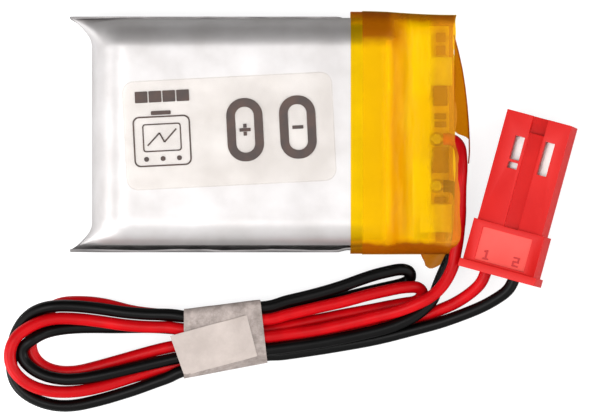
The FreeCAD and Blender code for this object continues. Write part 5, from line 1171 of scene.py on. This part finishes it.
def build_curl():
    """Loose end of the tape bulging out past the open end, and hanging over the leads."""
    path = np.array(CURL_PATH)
    lengths = path_lengths(path)
    steps = 44
    rows = []
    for i in range(steps + 1):
        along = lengths[-1] * i / steps
        x = np.interp(along, lengths, path[:, 0])
        y = np.interp(along, lengths, path[:, 1])
        top = 2.72 - 0.05 * math.sin(along)
        # the roof reaches back to the opening, but fades out towards the front
        roof_x = lerp(16.22, x - 0.05, smooth((0.25 - y) / 0.7))
        bend = 0.28 * min(1, (x - roof_x) / 0.5)
        row = []
        for k in range(9):
            t = k / 8
            row.append((lerp(roof_x, x - bend, t), y, top + 0.02 * math.sin(t * 3)))
        for k in range(1, 15):
            t = k / 14
            if t < 0.35:
                angle = t / 0.35 * math.pi / 2
                row.append((x - bend * (1 - math.sin(angle)), y,
                            top - 0.28 * (1 - math.cos(angle))))
            else:
                hem_z = 0.95 + 0.2 * math.sin(along * 0.6)
                row.append((x - 0.05 * (t - 0.35), y, lerp(top - 0.28, hem_z, (t - 0.35) / 0.65)))
        rows.append(row)
    return sheet("tape_curl", rows, -TAPE_THICKNESS, FINISH["tape_thick"])


def build_tag():
    """Small tag where the tape's two layers meet, sticking out at the front edge."""
    edge_x, edge_y = zip(*TAG_EDGE)
    rows = []
    for i in range(27):
        x = lerp(13.36, 15.6, i / 26)
        front_y = np.interp(x, edge_x, edge_y)
        rows.append([(x, lerp(-10.16, front_y, k / 8),
                      0.62 + 0.10 * math.sin(x * 2.4 + k * 0.3) - 0.12 * (k / 8))
                     for k in range(9)])
    return sheet("tape_tag", rows, 0.06, FINISH["tape_thick"])


register(build_tape("tape_inner_turn", 7.35, 16.25, lift=0.0, steps=74,
                    material=FINISH["amber_tape"]), "amber_tape", "pack", "tape_inner")
register(build_tape("tape_outer_turn", 8.36, 16.30, lift=0.055, steps=68,
                    material=FINISH["tape_second"]), "amber_tape", "pack", "tape_outer")
register(build_curl(), "amber_tape", "pack")
register(build_tag(), "amber_tape", "pack")

# ------------------------------------------------------------------ paper band
# Plan ends of the band's left and right edge lines, back then front
BAND_LEFT = (np.array([-6.90, -15.02]), np.array([-6.90, -20.90]))
BAND_RIGHT = (np.array([-0.36, -14.18]), np.array([0.24, -19.50]))
BAND_STEPS = 34
BAND_RING = 132             # points round the band
BAND_CLEARANCE = 0.555      # from a strand's middle to the paper
BAND_REACH = 4.2            # strands further than this from the middle are left out
BAND_THICKNESS = 0.075
# Plan corners of the free tail
TAIL_BACK = (np.array([-8.08, -17.25]), np.array([-1.55, -15.45]))
TAIL_FRONT = (np.array([-6.88, -20.62]), np.array([-0.62, -18.95]))
TAIL_THICKNESS = 0.07


def wire_hits(middle, direction):
    """Where the strands of the hank cross the upright plane through middle square to direction."""
    hits = []
    for curve in hank_curves:
        distance = (curve[:, :2] - middle) @ direction
        for k in range(len(curve) - 1):
            here, there = distance[k], distance[k + 1]
            if here * there <= 0 and abs(here - there) > 1e-9:
                t = here / (here - there)
                hits.append(curve[k] * (1 - t) + curve[k + 1] * t)
    return hits


def hull(points):
    """Convex outline of plane points."""
    points = sorted(set((round(x, 5), round(y, 5)) for x, y in points))

    def half(sequence):
        chain = []
        for point in sequence:
            while len(chain) >= 2:
                (x0, y0), (x1, y1) = chain[-2:]
                if (x1 - x0) * (point[1] - y0) - (y1 - y0) * (point[0] - x0) > 0:
                    break
                chain.pop()
            chain.append(point)
        return chain
    return half(points)[:-1] + half(points[::-1])[:-1]


def resample_loop(loop, count):
    """Evenly spaced points round the loop, starting straight below its middle."""
    closed = np.array(loop + [loop[0]])
    lengths = path_lengths(closed)

    def at(places):
        return np.c_[np.interp(places, lengths, closed[:, 0]),
                     np.interp(places, lengths, closed[:, 1])]

    fine = np.linspace(0, lengths[-1], 720, endpoint=False)
    across, height = at(fine).T
    middle = (across.min() + across.max()) / 2
    start = np.argmin(np.where(height < height.mean(), np.abs(across - middle), 1e9))
    return at((fine[start] + np.linspace(0, lengths[-1], count, endpoint=False)) % lengths[-1])


def build_band():
    """Paper wrapped round the hank. Returns the object and its outer skin."""
    middles, directions, loops = [], [], []
    for i in range(BAND_STEPS + 1):
        back = lerp(BAND_LEFT[0], BAND_RIGHT[0], i / BAND_STEPS)
        front = lerp(BAND_LEFT[1], BAND_RIGHT[1], i / BAND_STEPS)
        across = (front - back) / np.linalg.norm(front - back)
        middle = (back + front) / 2
        points = []
        for hit in wire_hits(middle, np.array([-across[1], across[0]])):
            offset = float(np.dot(hit[:2] - middle, across))
            if abs(offset) > BAND_REACH:
                continue
            for k in range(28):
                angle = 2 * math.pi * k / 28
                points.append((offset + BAND_CLEARANCE * math.cos(angle),
                               max(hit[2] + BAND_CLEARANCE * math.sin(angle), 0.045)))
        middles.append(middle)
        directions.append(across)
        loops.append(resample_loop(hull(points), BAND_RING))
    loops = np.array(loops)
    # even out from station to station
    for _ in range(3):
        evened = loops.copy()
        evened[1:-1] = (loops[:-2] + 2 * loops[1:-1] + loops[2:]) / 4
        loops = evened
    rings = []
    for i, (middle, across) in enumerate(zip(middles, directions)):
        ring = []
        for offset, z in loops[i]:
            top = smooth((z - 1.2) / 0.8)
            raised = z + top * (0.05 + 0.04 * fbm(i * 0.12, offset * 0.9, 2.0))
            place = middle + across * (offset * 1.012)
            ring.append((place[0], place[1], max(0.035, raised)))
        rings.append(ring)
    inner = np.array(rings)
    tangents = ring_tangents(inner)
    normals = []
    for i, across in enumerate(directions):
        normal = unit(np.cross(tangents[i], np.array([-across[1], across[0], 0.0])))
        side = np.sign(np.sum(normal * (inner[i] - inner[i].mean(axis=0)), axis=1).sum())
        normals.append(normal * (side if side else 1))
    outer = inner + np.array(normals) * BAND_THICKNESS
    outer[:, :, 2] = np.maximum(outer[:, :, 2], 0.012)
    return sleeve("paper_wrap", inner, outer, FINISH["band_paper"], 60), outer


def band_height(band_points, x, y):
    """Top of the wrap near a plan point."""
    distance = (band_points[:, 0] - x) ** 2 + (band_points[:, 1] - y) ** 2
    distance = np.where(band_points[:, 2] > 1.0, distance, 1e9)
    nearest = np.argsort(distance)[:8]
    weight = 1 / (distance[nearest] + 0.02)
    return float((band_points[nearest, 2] * weight).sum() / weight.sum())


def build_tail(band_points):
    """Free tail of the paper lying over the wrap and sticking out at the left."""
    columns, lines = 44, 30
    heights = np.zeros((columns + 1, lines + 1))
    places = np.zeros((columns + 1, lines + 1, 2))
    for i in range(columns + 1):
        for j in range(lines + 1):
            right, forward = i / columns, j / lines
            place = ((TAIL_BACK[0] * (1 - right) + TAIL_BACK[1] * right) * (1 - forward)
                     + (TAIL_FRONT[0] * (1 - right) + TAIL_FRONT[1] * right) * forward)
            places[i, j] = place
            x, y = place
            heights[i, j] = (band_height(band_points, max(x, -6.85), y) + 0.05
                             + 0.02 * fbm(x * 0.8, y * 0.8, 7.0)
                             + 0.10 * smooth((-6.9 - x) / 1.3))
    for _ in range(4):
        evened = heights.copy()
        evened[1:-1, 1:-1] = (heights[:-2, 1:-1] + heights[2:, 1:-1]
                              + heights[1:-1, :-2] + heights[1:-1, 2:]) / 4
        heights = np.maximum(evened, heights - 0.01)
    rows = np.dstack([places, heights])
    return sheet("paper_tail", rows, -TAIL_THICKNESS, FINISH["band_tail"])


band, band_skin = build_band()
register(band, "band_paper", "hank", "paper_band")
register(build_tail(band_skin.reshape(-1, 3)), "band_paper", "hank")

# ------------------------------------------------------------------ board and small parts
# Soft edges on the plain CAD shapes: bevel width and nodes
SOFT_EDGES = (
    (0.06, ("switch_chip",)),
    (0.05, ("guard_chip", "chip_capacitors")),
    (0.04, ("protection_board", "chip_resistors", "tab_seal_positive", "tab_seal_negative")),
    (0.03, ("cell_link_positive", "cell_link_negative", "contact_red", "contact_black")),
    (0.015, ("cell_tab_positive", "cell_tab_negative")),
)
for edge_width, edge_nodes in SOFT_EDGES:
    for edge_node in edge_nodes:
        bevel(frame["nodes"][edge_node], edge_width)

# ------------------------------------------------------------------ plug
# Built upright to its own axes: y runs from the flange at the lead end to the mouth, z is up
PLUG_TILT = 10.0
PLUG_PLACE = (Matrix.Translation(Vector(PLUG_BASE) * MM)
              @ Matrix.Rotation(math.radians(-PLUG_TURN), 4, "Z")
              @ Matrix.Rotation(math.radians(-PLUG_TILT), 4, "Y"))
PLUG_TOP = 4.20
WAY_X = 1.25                # the two ways lie this far to each side
CHANNEL_X = 0.13
# Openings in the top: middle x, middle y, length
WINDOWS = ((-1.18, 10.98, 2.05), (-1.18, 9.45, 0.55), (1.45, 10.7, 2.9))
WINDOW_HALF_WIDTH = 0.425
# Raised way numbers: name, middle x and y, strokes of x0, y0, x1, y1
WAY_NUMBERS = (
    ("way_number_one", -1.3, 1.5,
     ((-0.09, -0.28, 0.09, 0.42), (-0.25, 0.20, -0.09, 0.35), (-0.25, -0.42, 0.26, -0.28))),
    ("way_number_two", 1.3, 1.55,
     ((-0.28, 0.28, 0.28, 0.42), (0.12, 0.07, 0.28, 0.28), (-0.28, -0.07, 0.28, 0.07),
      (-0.28, -0.28, -0.12, -0.07), (-0.28, -0.42, 0.28, -0.28))),
)
NUMBER_Z = (4.19, 4.245)


def block_data(x0, x1, y0, y1, z0, z1):
    verts = [(x, y, z) for x in (x0, x1) for y in (y0, y1) for z in (z0, z1)]
    faces = [(0, 1, 3, 2), (4, 6, 7, 5), (0, 4, 5, 1), (2, 3, 7, 6), (0, 2, 6, 4), (1, 5, 7, 3)]
    return verts, faces


def flat_solid(name, verts, faces, material=None):
    return outward(mesh_object(name, verts, faces, material, flat=True))


def block(*limits):
    return flat_solid("tmp", *block_data(*limits))


def cylinder_along_y(x, z, radius, y0, y1, sides=40):
    verts = []
    for y in (y0, y1):
        for k in range(sides):
            angle = 2 * math.pi * k / sides
            verts.append((x + radius * math.cos(angle), y, z + radius * math.sin(angle)))
    faces = [(k, (k + 1) % sides, sides + (k + 1) % sides, sides + k) for k in range(sides)]
    faces += [tuple(range(sides))[::-1], tuple(range(sides, 2 * sides))]
    return flat_solid("tmp", verts, faces)


def boolean(obj, other, operation):
    modifier = obj.modifiers.new("b", "BOOLEAN")
    modifier.operation = operation
    modifier.object = other
    modifier.solver = "EXACT"
    apply_modifiers(obj)
    bpy.data.objects.remove(other, do_unlink=True)


def build_plug():
    body = block(-2.86, 2.86, 0.2, 14.0, 0.25, PLUG_TOP)

    def cut(*limits):
        boolean(body, block(*limits), "DIFFERENCE")

    # wider rear part and the flange round its end
    boolean(body, block(-3.15, 3.15, 0.1, 4.3, 0.10, 4.35), "UNION")
    boolean(body, block(-3.4, 3.4, 0.0, 0.7, 0.0, 4.5), "UNION")
    # sunk panel for the way numbers, then the channel along the nose, deeper at the mouth
    cut(-2.2, 2.2, 0.9, 3.8, PLUG_TOP, 4.6)
    cut(CHANNEL_X - 0.625, CHANNEL_X + 0.625, 4.25, 15.0, 3.95, 4.6)
    cut(CHANNEL_X - 0.675, CHANNEL_X + 0.675, 12.55, 15.0, 3.60, 4.6)
    for x in (-WAY_X, WAY_X):
        cut(x - 0.93, x + 0.93, -1.0, 13.0, 1.15, 3.25)
        boolean(body, cylinder_along_y(x, 2.2, 0.75, 12.0, 15.0), "DIFFERENCE")
    for x, y, length in WINDOWS:
        cut(x - WINDOW_HALF_WIDTH, x + WINDOW_HALF_WIDTH, y - length / 2, y + length / 2, 2.7, 4.6)
    body.name = "plug_body"
    bevel(body, 0.13, 3, 35)
    apply_modifiers(body)
    body.data.materials.clear()
    body.data.materials.append(FINISH["plug_red"])
    body.data.materials.append(FINISH["plug_panel"])
    for polygon in body.data.polygons:
        polygon.use_smooth = True
        x, y, z = polygon.center / MM
        if (abs(x) < 2.15 and 0.95 < y < 3.75 and abs(z - PLUG_TOP) < 0.02
                and polygon.normal.z > 0.9):
            polygon.material_index = 1
    sharpen(body, 45)
    body.data.transform(PLUG_PLACE)
    return body


def build_number(name, x, y, strokes):
    verts, faces = [], []
    for x0, y0, x1, y1 in strokes:
        stroke_verts, stroke_faces = block_data(x + x0, x + x1, y + y0, y + y1, *NUMBER_Z)
        faces += [tuple(i + len(verts) for i in face) for face in stroke_faces]
        verts += stroke_verts
    number = flat_solid(name, verts, faces, FINISH["plug_mark"])
    bevel(number, 0.02)
    apply_modifiers(number)
    number.data.transform(PLUG_PLACE)
    return number


register(build_plug(), "plug_red", "plug", "plug_housing")
for way_number in WAY_NUMBERS:
    register(build_number(*way_number), "plug_red", "plug")


# ------------------------------------------------------------------ floor
FLOOR_HALF = 1.2            # metres
FLOOR_Z = -0.00013          # metres


def floor_material():
    """White ground that reflects more past the folded end and towards the front, and glows
    for the camera only."""
    material, graph = new_material("floor_white")
    split = graph.node("SeparateXYZ", {0: graph.object_coords()}).outputs
    past_fold = graph.map_range(split["X"], -0.0135, -0.0185, to_low=0.30, to_high=0.88,
                                interpolation_type="SMOOTHSTEP")
    frontward = graph.map_range(split["Y"], 0.0115, 0.0065, to_low=0.30, to_high=1.0,
                                interpolation_type="SMOOTHSTEP")
    color = graph.grey(graph.math("MINIMUM", past_fold, frontward))
    diffuse = graph.node("BsdfDiffuse", {"Color": color}).outputs["BSDF"]
    camera_ray = graph.node("LightPath").outputs["Is Camera Ray"]
    glow = graph.node("Emission", {
        "Color": (1, 1, 1, 1),
        "Strength": graph.math("MULTIPLY", camera_ray, 0.80)}).outputs["Emission"]
    graph.surface(graph.node("AddShader", {0: diffuse, 1: glow}).outputs[0])
    return material


floor_mesh = bpy.data.meshes.new("floor")
floor_mesh.from_pydata([(x * FLOOR_HALF, y * FLOOR_HALF, FLOOR_Z)
                        for x, y in ((-1, -1), (1, -1), (1, 1), (-1, 1))], [], [(0, 1, 2, 3)])
floor = bpy.data.objects.new("floor", floor_mesh)
bpy.context.scene.collection.objects.link(floor)
floor_mesh.materials.append(floor_material())

# ------------------------------------------------------------------ world
# Brightness stops: from front (0) to back (1), and from the horizon up
FRONT_TO_BACK = ((0.0, 0.80), (0.14, 0.97), (0.28, 1.0), (0.57, 1.0), (0.65, 0.54),
                 (0.76, 0.20), (1.0, 0.05))
UPWARD = ((0.0, 0.55), (0.12, 0.80), (0.34, 1.0), (0.6, 1.0), (1.0, 0.90))


def build_world():
    """One broad soft source overhead and towards the front, dim behind, brighter at both ends."""
    world = bpy.data.worlds.new("studio")
    bpy.context.scene.world = world
    world.use_nodes = True
    graph = Graph(world.node_tree, "OutputWorld")
    direction = graph.node("TexCoord").outputs["Generated"]
    split = graph.node("SeparateXYZ", {0: direction}).outputs
    color = graph.node("MixRGB", {
        0: 1.0,
        1: graph.ramp(graph.map_range(split["Y"], -1.0, 1.0), FRONT_TO_BACK),
        2: graph.ramp(split["Z"], UPWARD)}, blend_type="MULTIPLY").outputs[0]
    ends = graph.map_range(graph.math("ABSOLUTE", split["X"]), 0.25, 0.95,
                           to_low=1.0, to_high=1.6)
    strength = graph.math("MULTIPLY", ends, 0.92)
    background = graph.node("Background", {"Color": color, "Strength": strength})
    graph.surface(background.outputs[0])


build_world()


# ------------------------------------------------------------------ lights, in metres
def area(name, place, target, width, height, power):
    light = bpy.data.lights.new(name, "AREA")
    light.shape = "RECTANGLE"
    light.size = width
    light.size_y = height
    light.energy = power
    obj = bpy.data.objects.new(name, light)
    bpy.context.scene.collection.objects.link(obj)
    obj.location = place
    direction = Vector(target) - Vector(place)
    obj.rotation_euler = direction.to_track_quat("-Z", "Y").to_euler()


area("key", place=(-0.14, -0.08, 0.45), target=(0, 0, 0), width=0.26, height=0.26, power=0.62)
area("fill", place=(0.20, 0.10, 0.42), target=(0, 0, 0), width=0.20, height=0.20, power=0.25)
# low soft lights at both ends of the pack
area("left_soft", place=(-0.145, -0.075, 0.035), target=(-0.01, -0.002, 0.002),
     width=0.12, height=0.07, power=0.13)
area("right_soft", place=(0.17, 0.01, 0.05), target=(0.012, 0, 0.002),
     width=0.14, height=0.07, power=0.10)

# ------------------------------------------------------------------ camera, in metres
CAMERA_HEIGHT = 0.60
FOCUS_HEIGHT = 0.003        # the level at which the view is as wide as given
VIEW_WIDTH = 0.0505
SENSOR_WIDTH = 36

camera_data = bpy.data.cameras.new("camera")
camera = bpy.data.objects.new("camera", camera_data)
bpy.context.scene.collection.objects.link(camera)
camera.location = (0.00265, -0.00618, CAMERA_HEIGHT)
camera_data.sensor_width = SENSOR_WIDTH
camera_data.lens = SENSOR_WIDTH * (CAMERA_HEIGHT - FOCUS_HEIGHT) / VIEW_WIDTH
camera_data.clip_start = 0.01
camera_data.clip_end = 10
bpy.context.scene.camera = camera
view_settings = bpy.context.scene.view_settings
view_settings.view_transform = "Standard"
view_settings.look = "None"
view_settings.exposure = 0.0
